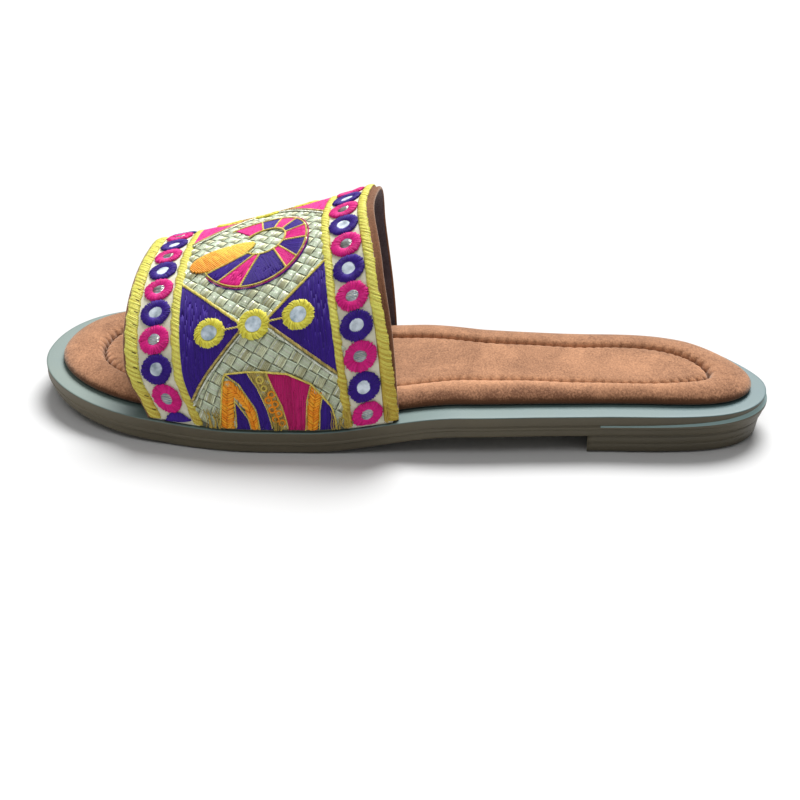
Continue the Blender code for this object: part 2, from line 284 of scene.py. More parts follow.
def outline_row(places, inset, height):
    """Ring round the sole: toe tip, inner side, heel tip, outer side."""
    last = len(places) - 1
    sides = []
    for side, station, sign in (("medial", places, 1.0), ("lateral", places[-2:0:-1], -1.0)):
        d = inset(station, side)
        s = station + d * np.clip(1.0 - station / ROUND_REACH, 0.0, None)
        s = s - d * np.clip(1.0 - (LENGTH - station) / ROUND_REACH, 0.0, None)
        y = sign * half_width(side, s, d)
        sides.append(np.stack([s - LENGTH / 2.0, y + SIDE_SHIFT, height(s)], 1))
    row = np.concatenate(sides)
    row[[0, last], 1] = SIDE_SHIFT
    return row


def wall_faces(upper, lower, columns, closed=True):
    j = np.arange(columns if closed else columns - 1)
    k = (j + 1) % columns
    return np.stack([upper + j, upper + k, lower + k, lower + j], 1).tolist()


def cap_faces(first, spans, start, stop, upward=False):
    faces = []
    for i in range(start, stop):
        ring = [first + i, first + i + 1]
        if i + 1 < spans:
            ring.append(first + 2 * spans - i - 1)
        if i > 0:
            ring.append(first + 2 * spans - i)
        faces.append(ring[::-1] if upward else ring)
    return faces


def make_piece(name, points, faces, materials, smooth=True, slots=None, tone=None):
    """Mesh object from millimetre points, turned outward, riding on the shoe."""
    points = np.asarray(points, float) * MM
    mesh = bpy.data.meshes.new(name)
    mesh.from_pydata(points.tolist(), [], faces)
    for material in materials:
        mesh.materials.append(material)
    mesh.polygons.foreach_set("use_smooth", [smooth] * len(mesh.polygons))
    if slots is not None:
        mesh.polygons.foreach_set("material_index", slots)
    if tone is not None:
        mesh.attributes.new("tone", "FLOAT", "POINT").data.foreach_set("value", tone)
    mesh.calc_loop_triangles()
    corner = np.empty(len(mesh.loop_triangles) * 3, np.int32)
    mesh.loop_triangles.foreach_get("vertices", corner)
    a, b, c = (points[corner.reshape(-1, 3)[:, i]] for i in range(3))
    if np.einsum("ij,ij->i", a, np.cross(b, c)).sum() < 0.0:
        mesh.flip_normals()
    mesh.update()
    piece = bpy.data.objects.new(name, mesh)
    scene.collection.objects.link(piece)
    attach(piece, "root")
    return piece


PLATE_SIDE = {
    "inset_ball": (3.0, 0.7, 0.35, 0.1, 0.0, 0.04, 0.14, 0.26, 0.28, 0.1, 0.05, 0.03, 0.0, 0.08, 0.24,
                   0.28, 0.29, 0.3, 0.45, 0.95),
    "inset_heel": (3.0, 1.1, 0.75, 0.5, 0.4, 0.42, 0.6, 0.82, 0.85, 0.12, 0.03, 0.0, 0.0, 0.2, 0.5,
                   0.55, 0.6, 0.7, 0.95, 1.6),
    "inset_tip": (3.0, 1.4, 1.05, 0.8, 0.7, 0.75, 0.9, 1.1, 1.15, 0.5, 0.12, 0.0, 0.0, 0.2, 0.4,
                  0.5, 0.6, 0.7, 0.95, 1.6),
    "depth": (0.0, 0.0, 0.02, 0.1, 0.28, 0.8, 2.2, 3.5, 3.65, 3.8, 3.88, 4.0, 4.5, 4.75, 4.88,
              5.2, 6.2, 6.9, 7.35, 7.6),
    "depth_tip": (0.0, 0.0, 0.02, 0.1, 0.28, 0.5, 0.9, 1.3, 1.4, 2.1, 2.7, 2.9, 3.8, 4.2, 4.5,
                  5.0, 6.2, 6.9, 7.35, 7.6),
}
HEEL_SIDE = {
    "inset": (1.7, 1.35, 1.25, 1.25, 1.3, 1.45, 1.45, 1.33, 1.4, 1.5, 1.8, 2.5),
    "drop": (0.03, 0.08, 0.13, 0.3, 0.43, 0.46, 0.5, 0.54, 0.7, 0.86, 0.95, 1.0),
}
HEEL_FORM = {"from": 110.0, "run": 100.0}
TIP_FORM = {"from": 205.0, "run": 50.0}
END_DRAFT = {"toe": 1.28, "heel": 0.96, "block_top": 0.96, "block_low": 0.8}
DRAFT_REACH = {"toe": 40.0, "heel": 45.0}
DRAFT_FROM = 0.45
FLANGE_ROWS = 4
LEDGE_ROWS = (8, 9)
LEDGE_FROM = 198.0
SOLE_SPANS = 200


def side_value(s, ball, heel, tip):
    """Mixes the side's profile at the ball, at the heel breast and at the heel tip."""
    back = np.clip((s - HEEL_FORM["from"]) / HEEL_FORM["run"], 0.0, 1.0)
    end = np.clip((s - TIP_FORM["from"]) / TIP_FORM["run"], 0.0, 1.0) ** 1.5
    return (ball + (heel - ball) * back) * (1.0 - end) + tip * end


def toe_draft(s):
    return END_DRAFT["toe"] * np.clip(1.0 - s / DRAFT_REACH["toe"], 0.0, None)


def heel_draft(s, amount):
    return amount * np.clip(1.0 - (LENGTH - s) / DRAFT_REACH["heel"], 0.0, None)


places, breast_at = stations(SOLE_SPANS)
columns = 2 * SOLE_SPANS
points = []
faces = []
for ball_in, heel_in, tip_in, side_down, tip_down in zip(*PLATE_SIDE.values()):
    low_share = max(0.0, side_down / PLATE_THICK - DRAFT_FROM) / (1.0 - DRAFT_FROM)
    points.append(outline_row(
        places,
        lambda s, side: side_value(s, ball_in, heel_in, tip_in)
        + low_share * (toe_draft(s) + heel_draft(s, END_DRAFT["heel"])),
        lambda s: plate_top(s) + (plate_bottom(s) - plate_top(s))
        * side_value(s, side_down, side_down, tip_down) / PLATE_THICK,
    ))
rows = [columns * k for k in range(len(points))]
for upper, lower in zip(rows, rows[1:]):
    faces += wall_faces(upper, lower, columns)
faces += cap_faces(rows[0], SOLE_SPANS, 0, SOLE_SPANS, True)
faces += cap_faces(rows[-1], SOLE_SPANS, 0, breast_at)
heel_columns = columns - 2 * breast_at + 1
above = rows[-1] + breast_at
below = columns * len(points)
for step, drop in zip(*HEEL_SIDE.values()):
    draft = END_DRAFT["block_top"] + END_DRAFT["block_low"] * drop
    row = outline_row(
        places,
        lambda s, side: step + heel_draft(s, draft),
        lambda s: plate_bottom(s) * (1.0 - drop),
    )
    points.append(row[breast_at:breast_at + heel_columns])
    faces += wall_faces(above, below, heel_columns, False)
    faces.append([above, below, below + heel_columns - 1, above + heel_columns - 1])
    above = below
    below += heel_columns
for i in range(SOLE_SPANS - breast_at):
    j = heel_columns - 1 - i
    ring = [above + i, above + i + 1]
    if i + 1 < j - 1:
        ring.append(above + j - 1)
    faces.append(ring + [above + j])


def noise(at, scale, detail, roughness=0.5, distortion=0.0):
    sockets = {"Vector": at, "Scale": scale, "Detail": detail}
    sockets.update({"Roughness": roughness, "Distortion": distortion})
    return at.add("ShaderNodeTexNoise", None, sockets)


def relief(height, strength, distance):
    sockets = {"Strength": strength, "Distance": distance, "Height": height}
    return height.add("ShaderNodeBump", None, sockets)


def rubber(name, dark, light):
    """Moulded rubber, slightly clouded, with a fine grit, and painted paler toward the toe as painted light.
    """
    material, start = new_finish(name)
    spot = start.add("ShaderNodeTexCoord", output="Object")
    along = start.add("ShaderNodeSeparateXYZ", None, {"Vector": spot})
    cloud = noise(spot, 38.0, 4.0, 0.6)
    grit = noise(spot, 1500.0, 2.0)
    return set_finish(
        material,
        # Painted light: the colour grows paler toward the toe.
        Base_Color=start.mix((0.1 + 0.6 * cloud - 1.8 * along).clamp(), dark, light),
        Roughness=0.42 + 0.2 * cloud,
        Normal=relief(grit, 0.25, 0.0002),
    )


# Painted light and shade: the flange top and the ledge take paler, bluer copies of the rubber as painted
# light, and the side a darker copy as painted shade.
side_rubber_painted_shade = rubber("side_rubber_painted_shade", screen(70, 64, 48), screen(106, 97, 76))
flange_rubber_painted_light = rubber("flange_rubber_painted_light", screen(72, 101, 106), screen(118, 131, 120))
ledge_rubber_painted_light = rubber("ledge_rubber_painted_light", screen(132, 160, 160), screen(150, 172, 166))
sole_rubbers = [side_rubber_painted_shade, flange_rubber_painted_light, ledge_rubber_painted_light]
SIDE, FLANGE, LEDGE = range(3)
slots = np.full(len(faces), SIDE, np.int32)
slots[:FLANGE_ROWS * columns] = FLANGE
top_cap = (len(rows) - 1) * columns
slots[top_cap:top_cap + SOLE_SPANS] = FLANGE
ledge_at = int(np.searchsorted(places, LEDGE_FROM))
for k in LEDGE_ROWS:
    slots[k * columns + ledge_at:(k + 1) * columns - ledge_at] = LEDGE
sole = make_piece("sole_unit", np.concatenate(points), faces, sole_rubbers, slots=slots)
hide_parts("outsole")

# Footbed: board and foam wrapped in brown suede and glued on the flange. The
# edge is a full roll, a row of stitches pulls a channel into it all round, and
# the suede puckers at each stitch and swells in the middle.
# The last two columns paint light and shade into the suede: dark low on the roll and in the stitched
# channel, brighter on the lips beside it.
PAD_PROFILE = {
    "in_from_edge": (2.0, 1.3, 0.8, 0.4, 0.1, 0.0, 0.05, 0.2, 0.45, 0.85, 1.4, 2.4, 3.8, 5.4, 7.2,
                     8.8, 10.0, 10.9, 11.6, 12.1, 12.45, 12.7, 12.95, 13.3, 13.8, 14.5, 15.5, 16.8,
                     18.5),
    "height": (0.25, 0.35, 0.5, 0.75, 1.1, 1.5, 1.9, 2.3, 2.7, 3.1, 3.45, 3.9, 4.3, 4.6, 4.8,
               4.8, 4.75, 4.6, 4.15, 3.3, 2.5, 2.1, 2.5, 3.1, 3.7, 4.1, 4.3, 4.35, 4.35),
    "nap_and_painted_light": (0.0, 0.0, 0.0, 0.0, 0.0, 0.0, 0.15, 0.4, 0.65, 0.85, 0.95, 1.0, 1.0, 1.0, 1.0,
            1.0, 1.0, 1.05, 1.1, 0.9, 0.3, 0.1, 0.3, 0.9, 1.1, 1.05, 1.0, 1.0, 1.0),
    "outer_painted_light": (0.0, 0.0, 0.0, 0.0, 0.0, 0.0, 0.15, 0.3, 0.4, 0.42, 0.42, 0.45, 0.58, 0.82, 1.08,
                  1.3, 1.5, 1.7, 1.6, 1.0, 0.3, 0.1, 0.3, 0.9, 1.1, 1.05, 1.0, 1.0, 1.0),
}
PAD_FROM_TOE = (0.0, 40.0, 100.0, 150.0, 215.0, 255.0)
PAD_FLANGE = {
    "medial": (6.0, 6.0, 6.0, 6.0, 6.0, 6.0),
    "lateral": (6.0, 8.0, 8.9, 8.9, 8.9, 6.0),
}
PAD_ROLL = {
    "medial": (1.15, 1.0, 1.0, 1.0, 1.0, 1.15),
    "lateral": (1.15, 1.0, 1.05, 1.05, 0.75, 1.15),
}
CHANNEL = 12.7
ROLL_LIP = 11.7
PILLOW_LIP = 13.7
GATHERED_FROM = 4.0
STITCH_PITCH = 3.5
PAD_SPANS = 560
places, _ = stations(PAD_SPANS)
columns = 2 * PAD_SPANS


def pad_inset(s, side, step):
    edge = fair(PAD_FROM_TOE, PAD_FLANGE[side], s)
    return edge + step * fair(PAD_FROM_TOE, PAD_ROLL[side], s)


def bell(at, middle, width):
    return math.exp(-(((at - middle) / width) ** 2))


def ramp(at, begin, finish):
    """Rises from 0 at begin to 1 at finish and stays there."""
    return np.clip((at - begin) / (finish - begin), 0.0, 1.0)


def lengths(line):
    """Length of a line from its first point to each point."""
    return np.concatenate([[0.0], np.cumsum(np.linalg.norm(np.diff(line, axis=0), axis=1))])


channel = outline_row(places, lambda s, side: pad_inset(s, side, CHANNEL), plate_top)
run = lengths(np.concatenate([channel, channel[:1]]))
round_trip = run[-1]
run = run[:-1]
# The stitches drift a little along the channel, and some are pulled tighter.
stitches = round(round_trip / STITCH_PITCH)
beat = 2.0 * np.pi * stitches * run / round_trip
beat = beat + 0.5 * np.sin(beat * 5.0 / stitches) + 0.8 * np.sin(beat * 17.0 / stitches)
tight = 0.75 + 0.25 * np.sin(beat * 13.0 / stitches + 1.0)
knot = np.cos(0.5 * beat) ** 4
ends = ramp(abs(channel[:, 0]), 80.0, 100.0)
# Along the straight part of the outer side the roll is painted darker low down as painted shade and brighter
# at the crest as painted highlight.
heading = np.roll(channel, -1, axis=0) - np.roll(channel, 1, axis=0)
straight = abs(heading[:, 0]) / np.hypot(heading[:, 0], heading[:, 1])
outer_side = (channel[:, 1] < 0.0) * straight ** 2 * ramp(channel[:, 0], -40.0, -10.0)
outer_side *= 1.0 - 0.5 * ramp(channel[:, 0], 40.0, 90.0)
points = []
faces = []
painted_light_rows = []
for step, up, nap_and_painted_light, outer_painted_light in zip(*PAD_PROFILE.values()):
    nap_and_painted_light = nap_and_painted_light + (outer_painted_light - nap_and_painted_light) * outer_side
    row = outline_row(places, lambda s, side: pad_inset(s, side, step), lambda s: plate_top(s) + up)
    pull = bell(step, CHANNEL, 0.75)
    lips = 0.7 * bell(step, ROLL_LIP, 0.7) + 0.9 * bell(step, PILLOW_LIP, 0.8)
    fold = bell(step, CHANNEL, 2.8)
    if step > GATHERED_FROM:
        row[:, 2] -= pull * tight * (0.3 + 0.7 * knot)
        row[:, 2] -= (0.85 * lips * (1.0 - 0.4 * ends) + 0.1 * fold * ends) * tight * knot
        # Painted highlight on the lips between the stitches, painted shade at each stitch.
        nap_and_painted_light = nap_and_painted_light + 0.7 * lips * (0.75 - knot)
        soft = np.sin(row[:, 0] * 0.11 + 0.7) * np.sin(row[:, 1] * 0.17 + 1.1)
        soft += 0.6 * np.sin(row[:, 0] * 0.23 + row[:, 1] * 0.2)
        row[:, 2] += 0.12 * soft
    points.append(row)
    painted_light_rows.append(np.broadcast_to(nap_and_painted_light, columns))
rows = [columns * k for k in range(len(points))]
for lower, upper in zip(rows, rows[1:]):
    faces += wall_faces(upper, lower, columns)
faces += cap_faces(rows[0], PAD_SPANS, 0, PAD_SPANS)
faces += cap_faces(rows[-1], PAD_SPANS, 0, PAD_SPANS, True)


def suede(name, dark, light):
    """Napped leather: soft cloudy brushing and short fibres; the tone attribute adds painted shade and
    light.
    """
    material, start = new_finish(name)
    painted_light = start.add("ShaderNodeAttribute", {"attribute_name": "tone"}, None, "Fac")
    spot = start.add("ShaderNodeTexCoord", output="Object")
    strokes = start.add("ShaderNodeMapping", None, {"Vector": spot, "Scale": (1.0, 0.55, 1.0)})
    brushed = noise(spot, 55.0, 5.0, 0.65, 0.8)
    nap_and_painted_light = noise(strokes, 1600.0, 4.0, 0.7)
    rubbed = noise(strokes, 260.0, 3.0, 0.6, 0.6)
    share = (brushed - 0.5) * 0.9 + (rubbed - 0.5) * 0.35 + (nap_and_painted_light - 0.5) * 1.5
    share = (share + 0.75 * painted_light - 0.25).clamp()
    return set_finish(
        material,
        Base_Color=start.mix(share, dark, light),
        Roughness=0.95,
        Sheen_Weight=0.5,
        Sheen_Roughness=0.4,
        Sheen_Tint=(1.0, 0.85, 0.72, 1.0),
        Specular_IOR_Level=0.1,
        Normal=relief(nap_and_painted_light, 0.6, 0.0004),
    )


brown_suede = suede("brown_suede", screen(100, 65, 45), screen(203, 149, 112))
footbed = make_piece(
    "footbed_pad", np.concatenate(points), faces, [brown_suede], tone=np.concatenate(painted_light_rows)
)
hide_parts("footbed")

# Strap: cream cloth faced with embroidery and lined with suede. It arches from
# flange to flange, highest toward the inner side. The lining is folded round both
# edges, as a thin line in front and a narrow step behind.
ROUND_ARCH = (-1.0, -0.8, -0.5, 0.0, 0.5, 1.0)
STRAP_FRONT = (47.9, 39.4, 36.4, 34.4, 32.2, 45.9)
STRAP_BACK = (131.5, 128.6, 122.3, 114.5, 115.3, 121.0)
STRAP_WALL = 2.4
STRAP_POWER = 2.0 / 2.43
STRAP_RISE = {"from": 37.5, "run": 75.0}
ARCH_HEIGHT = {"front": 37.8, "gain": 24.6}
RIDGE_SHIFT = {"front": 9.9, "gain": 7.2}
FOOT_INSET = {"medial": 1.4, "lateral": 1.0}
SEAT_GAP = 0.25
NUDGE = 0.002
AT_FOOT = 0.999
CLOTH_FROM = -0.009
LINING_EDGE = 0.976
PANEL_SHARE = (0.2, 0.8)
FRONT_FOLD = ((-0.013, -2.2), (-0.016, -1.7), (-0.016, -1.0), (-0.014, -0.5), (CLOTH_FROM, 0.0))
BACK_FOLD = ((LINING_EDGE, 0.0), (LINING_EDGE, -0.9), (0.99, -0.85), (0.996, -0.95), (0.9995, -1.3),
             (1.0, -1.7), (0.999, -2.1))


def strap_face(across, place):
    """Outer face: across 0 front edge to 1 back edge, place -1 to 1 over the arch."""
    front = fair(ROUND_ARCH, STRAP_FRONT, place)
    s = front + (fair(ROUND_ARCH, STRAP_BACK, place) - front) * across
    u = (s - STRAP_RISE["from"]) / STRAP_RISE["run"]
    height = ARCH_HEIGHT["front"] + ARCH_HEIGHT["gain"] * u
    shift = RIDGE_SHIFT["front"] + RIDGE_SHIFT["gain"] * u
    inner = half_width("medial", s, 0.0) - FOOT_INSET["medial"]
    outer = FOOT_INSET["lateral"] - half_width("lateral", s, 0.0)
    turn = place * np.pi / 2.0
    side = np.sign(turn) * abs(np.sin(turn)) ** STRAP_POWER
    rise = np.clip(np.cos(turn), 0.0, None)
    y = (inner + outer) / 2.0 + (inner - outer) / 2.0 * side + shift * rise ** 1.5
    z = plate_top(s) + SEAT_GAP + height * rise ** STRAP_POWER
    return np.stack(np.broadcast_arrays(s - LENGTH / 2.0, y + SIDE_SHIFT, z), -1)


def strap_point(across, place, lift):
    """Point off the outer face along its normal; the feet stay on the flange."""
    across, place, lift = np.broadcast_arrays(
        np.asarray(across, float), np.asarray(place, float), np.asarray(lift, float)
    )
    inside = np.clip(place, NUDGE - 1.0, 1.0 - NUDGE)
    a = strap_face(across + NUDGE, inside) - strap_face(across - NUDGE, inside)
    b = strap_face(across, inside + NUDGE) - strap_face(across, inside - NUDGE)
    normal = np.cross(a, b)
    foot = abs(place) > AT_FOOT
    normal[..., 2] = np.where(foot, 0.0, normal[..., 2])
    normal /= np.linalg.norm(normal, axis=-1, keepdims=True)
    point = strap_face(across, place) + lift[..., None] * normal
    floor_z = plate_top(point[..., 0] + LENGTH / 2.0) + SEAT_GAP
    point[..., 2] = np.where(foot, floor_z, np.maximum(point[..., 2], floor_z))
    return point


fine_place = np.linspace(-1.0, 1.0, 1201)
run = lengths(strap_face(0.5, fine_place))
ARCH_STEPS = 170
arch_places = np.interp(np.linspace(0.0, run[-1], ARCH_STEPS + 1), run, fine_place)
arch_places[0] = -1.0
arch_places[-1] = 1.0
CREAM, PANEL, LINING, INSIDE = range(4)
strap_loop = [(*spot, LINING) for spot in FRONT_FOLD]
for across in np.linspace(CLOTH_FROM, LINING_EDGE, 46)[1:-1]:
    in_panel = PANEL_SHARE[0] < across < PANEL_SHARE[1]
    strap_loop.append((across, 0.0, PANEL if in_panel else CREAM))
strap_loop += [(*spot, LINING) for spot in BACK_FOLD]
strap_loop += [(across, -STRAP_WALL, INSIDE) for across in (0.995, *np.linspace(0.97, 0.01, 30))]
strap_loop += [(CLOTH_FROM, -STRAP_WALL, LINING)]
across, lift, loop_slots = (np.array(column) for column in zip(*strap_loop))
points = strap_point(across[None, :], arch_places[:, None], lift[None, :]).reshape(-1, 3)
count = len(strap_loop)
faces = []
for k in range(ARCH_STEPS):
    faces += wall_faces(k * count, (k + 1) * count, count)
faces.append(list(range(count))[::-1])
faces.append(list(range(ARCH_STEPS * count, (ARCH_STEPS + 1) * count)))
slots = np.concatenate([np.tile(loop_slots, ARCH_STEPS), [LINING, LINING]]).astype(np.int32)


def cloth(name, dark, light, slubs, roughness, weave):
    """Plain cloth with uneven threads; weave is how far they stand out."""
    material, start = new_finish(name)
    slub = noise(start.add("ShaderNodeTexCoord", output="Object"), slubs, 4.0)
    return set_finish(
        material,
        Base_Color=start.mix(slub, dark, light),
        Roughness=roughness,
        Normal=relief(slub, weave, 0.0003),
    )


cream_cloth = cloth("cream_cloth", screen(196, 192, 166), screen(236, 234, 214), 700.0, 0.9, 0.5)
panel_cloth = cloth("panel_cloth", screen(64, 66, 56), screen(116, 118, 98), 500.0, 0.7, 0.0)
lining_suede = suede("lining_suede", screen(88, 56, 40), screen(146, 100, 72))
# Painted shade: the inside of the strap takes a darker, greyer copy of the lining suede.
inside_suede_painted_shade = suede("inside_suede_painted_shade", screen(78, 70, 76), screen(116, 106, 114))
strap = make_piece(
    "strap_body", points, faces, [cream_cloth, panel_cloth, lining_suede, inside_suede_painted_shade],
    slots=slots, tone=np.ones(len(points)),
)
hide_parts("strap")

# Stitched bands: four lines of thick yellow satin stitch that edge the two
# mirror rows. Each stitch slants across its band over a padding of laid thread,
# and needle gaps open between the bundles of the front band, filled with dark
# strands as painted shade.
STRIP = 88.0
GRID = {"margin": 0.03, "across": 107, "places": 1001, "from": -90.0, "step": 0.5, "downs": 391}
LAY_LIMITS = (-0.029, 1.029)
FOOT_PLACE = 0.9965
grid_across = np.linspace(-GRID["margin"], 1.0 + GRID["margin"], GRID["across"])
grid_place = np.linspace(-1.0, 1.0, GRID["places"])
grid_down = GRID["from"] + GRID["step"] * np.arange(GRID["downs"])
sheet = strap_face(grid_across[:, None], grid_place[None, :])
sheet_run = np.cumsum(np.linalg.norm(np.diff(sheet, axis=1), axis=2), axis=1)
sheet_run = np.concatenate([np.zeros((GRID["across"], 1)), sheet_run], 1)
ridge = GRID["places"] // 2
sheet_down = sheet_run[:, ridge:ridge + 1] - sheet_run
place_grid = np.stack(
    [np.interp(grid_down, row[::-1], grid_place[::-1]) for row in sheet_down]
)
outer_foot = sheet_down[:, 0]
inner_foot = sheet_down[:, -1]


def foot_limits(wide):
    """How far down the outer and inner sides the cloth reaches at a place across."""
    share = np.asarray(wide) / STRIP
    return np.interp(share, grid_across, outer_foot), np.interp(share, grid_across, inner_foot)


def lay(wide, down, lift):
    """Point on the strap: mm across from the front, mm down from the ridge, mm up."""
    share = np.clip(np.asarray(wide, float) / STRIP, *LAY_LIMITS)
    i = (share + GRID["margin"]) / (1.0 + 2.0 * GRID["margin"]) * (GRID["across"] - 1)
    j = (np.asarray(down, float) - GRID["from"]) / GRID["step"]
    j = np.clip(j, 0.0, GRID["downs"] - 1.001)
    i0 = np.clip(i.astype(int), 0, GRID["across"] - 2)
    j0 = j.astype(int)
    u = i - i0
    w = j - j0
    place = (
        (1 - u) * ((1 - w) * place_grid[i0, j0] + w * place_grid[i0, j0 + 1])
        + u * ((1 - w) * place_grid[i0 + 1, j0] + w * place_grid[i0 + 1, j0 + 1])
    )
    return strap_point(share, np.clip(place, -FOOT_PLACE, FOOT_PLACE), lift)


rng = np.random.default_rng(11)


def strands(wide, down, base, half, rise, shade=None):
    """Closed thread strands on the strap, flat below, one per row of the arrays."""
    wide, down, base, half, rise = np.broadcast_arrays(wide, down, base, half, rise)
    along_w = np.gradient(wide, axis=1)
    along_d = np.gradient(down, axis=1)
    size = np.hypot(along_w, along_d) + 1e-9
    out_w = -along_d / size
    out_d = along_w / size
    side = np.array([-1.0, -0.55, 0.55, 1.0])
    top = np.array([0.0, 0.92, 0.92, 0.0])
    points = lay(
        wide[..., None] + (out_w * half)[..., None] * side,
        down[..., None] + (out_d * half)[..., None] * side,
        base[..., None] + rise[..., None] * top,
    )
    n, k = wide.shape
    index = np.arange(n * k * 4).reshape(n, k, 4)
    following = np.roll(index, -1, axis=2)
    tube = np.stack(
        [index[:, :-1], following[:, :-1], following[:, 1:], index[:, 1:]], -1
    ).reshape(-1, 4)
    ends = np.concatenate([index[:, 0, ::-1], index[:, -1, :]])
    if shade is None:
        shade = rng.uniform(0.0, 1.0, n)
    tone = np.repeat(shade, k * 4)
    return points.reshape(-1, 3), np.concatenate([tube, ends]), tone


def sew(name, lots, material):
    """Joins lots of strands into one piece."""
    points = []
    faces = []
    tone = []
    first = 0
    for lot_points, lot_faces, lot_tone in lots:
        points.append(lot_points)
        faces.append(lot_faces + first)
        tone.append(lot_tone)
        first += len(lot_points)
    return make_piece(
        name, np.concatenate(points), np.concatenate(faces).tolist(), [material],
        tone=np.concatenate(tone),
    )


def thread(name, dark, light, shine=0.5, metal=0.0):
    """Silky embroidery thread: each stitch takes its own shade."""
    material, start = new_finish(name)
    shade = start.add("ShaderNodeAttribute", {"attribute_name": "tone"}, None, "Fac")
    spot = start.add("ShaderNodeTexCoord", output="Object")
    ply = noise(spot, 2400.0, 2.0)
    share = (0.2 + shade * 0.6 + (ply - 0.5) * 0.6).clamp()
    return set_finish(
        material,
        Base_Color=start.mix(share, dark, light),
        Roughness=shine,
        Metallic=metal,
        Sheen_Weight=0.0 if metal else 0.06,
        Sheen_Roughness=0.35,
        Specular_IOR_Level=0.5 if metal else 0.25,
        Normal=relief(ply, 0.3, 0.0002),
    )


BANDS = {
    "from": (-0.2, 16.2, 69.2, 82.7),
    "to": (4.3, 19.7, 72.1, 85.9),
    "slant": (3.2, 2.6, 2.4, 2.8),
    "foot_flare": (0.0, 0.0, 0.0, 3.2),
    "front_edge_share": (1.0, 1.0, 1.0, -0.3),
    "has_gaps": (True, False, False, False),
}
BAND_PITCH = 0.42
GAP_EVERY = 12
band_lots = []
gap_lots = []
for wide_from, wide_to, slant, flare, edge_share, has_gaps in zip(*BANDS.values()):
    middle = 0.5 * (wide_from + wide_to)
    low, high = foot_limits(middle)
    down = np.arange(high + 0.6, low - 0.4, BAND_PITCH)
    n = len(down)
    u = np.linspace(0.0, 1.0, 7)[None, :]
    bundle = np.cumsum(rng.uniform(0.14, 0.34, n))
    within = np.sin(np.pi * (bundle % 1.0))[:, None]
    edge = 0.18 * np.sin(bundle[:, None] * 1.7) + rng.uniform(-0.12, 0.12, (n, 1))
    edge = edge - flare * ramp(down[:, None], 48.0, 90.0)
    left = wide_from + edge_share * edge
    wide = left + (wide_to - 0.6 * edge + rng.uniform(-0.15, 0.15, (n, 1)) - left) * u
    sway = rng.uniform(-0.08, 0.08, (n, 1))
    line = down[:, None] + sway + (u - 0.5) * slant + 0.3 * np.sin(np.pi * u)
    dome = np.sin(np.pi * u) ** 0.6
    loft = 0.72 + 0.34 * within + rng.uniform(-0.06, 0.06, (n, 1))
    if has_gaps:
        gap = np.zeros((n, 1))
        gap[::GAP_EVERY] = 1.0
        loft = loft * (1.0 - 0.9 * gap * np.clip(2.5 * u - 1.1, 0.0, 1.0))
        slit = np.linspace(0.62, 0.9, 4)[None, :]
        at = down[::GAP_EVERY, None]
        gap_lots.append(strands(
            wide_from + (wide_to - wide_from) * slit,
            at + (slit - 0.5) * slant + 0.3 * np.sin(np.pi * slit),
            1.26 - 0.86 * slit, 0.17, 0.16,
        ))
    base = 0.04 + 0.52 * dome * loft
    # Painted shade: each stitch is darker and more orange toward the outer foot, and darker at the ends of
    # each bundle, where it lies lower.
    low_painted_shade = 0.7 * ramp(down, 54.0, 86.0)
    shade = np.clip(0.34 + 0.6 * within[:, 0] - low_painted_shade + rng.uniform(-0.15, 0.25, n), 0.0, 1.0)
    band_lots.append(strands(wide, line, base, 0.24 + 0.03 * dome, 0.24 + 0.08 * dome, shade))
    run = np.linspace(high + 0.4, low - 0.4, 220)[None, :]
    # Painted shade: the padding under the satin takes the darkest shade.
    band_lots.append(strands(middle, run, 0.04, 0.44 * (wide_to - wide_from), 0.3, np.zeros(1)))
yellow_thread = thread("yellow_thread", screen(176, 134, 30), screen(246, 248, 122))
bands = sew("stitched_bands", band_lots, yellow_thread)
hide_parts("band_front_outer", "band_front_inner", "band_back_inner", "band_back_outer")
# Painted shade: dark strands fill the needle gaps.
sew("needle_gaps_painted_shade", gap_lots, thread("gap_thread_painted_shade", screen(58, 44, 18), screen(104, 82, 34), 0.8))

# Mirror rows: small round glasses, each held by a rim of radial stitches over a
# padded ring. Purple rims take plain glass, pink rims have silver thread laid
# over the glass.
MIRROR_PITCH = 10.2
MIRROR_ROWS = {
    "row": ("front", "back"),
    "wide": (0.118 * STRIP, 0.880 * STRIP),
    "first": (-0.96, -1.24),
    "inner_side": (-5, -7),
    "outer_side": (7, 9),
}
RIM_ACROSS = 5.3
RIM_TALL = 5.05
LAST_RIM = {"down": 89.9, "tall": 4.3}
RIM_STITCHES = 76
STITCH_RISE = 0.34
CUT_RIM = {"across": 5.5, "tall": 5.6, "lower": 0.6, "stitches": 46}
OPEN_SHARE = {"purple": 0.41, "pink": 0.36}
# Painted reflection: how bright the glass of each rim colour is painted.
GLASS_PAINTED_REFLECTION = {"purple": 0.75, "pink": 0.25}
GLASS_THICK = 0.3
SILVER_LINES = np.array([-1.3, -0.7, -0.1, 0.55, 1.2])


def ring_pad(wide, down, across, tall, open_share, loft, sides=40):
    """Closed padded ring under the stitches of a rim."""
    turn = 2.0 * np.pi * np.arange(sides) / sides
    inward = np.array([0.0, 0.0, 0.12, 0.26, 0.38, 0.45, 0.45]) / 0.45
    share = 1.0 - inward * (1.0 - open_share)
    height = np.array([0.03, 0.25, 0.7, 0.95, 0.75, 0.4, 0.03]) * loft
    points = lay(
        wide + np.outer(share, across * np.cos(turn)),
        down + np.outer(share, tall * np.sin(turn)),
        np.repeat(height[:, None], sides, 1),
    )
    index = np.arange(7 * sides).reshape(7, sides)
    following = np.roll(index, -1, axis=1)
    up = np.roll(index, -1, axis=0)
    faces = np.stack([index, following, np.roll(following, -1, axis=0), up], -1)
    return points.reshape(-1, 3), faces.reshape(-1, 4), np.full(7 * sides, 0.35)


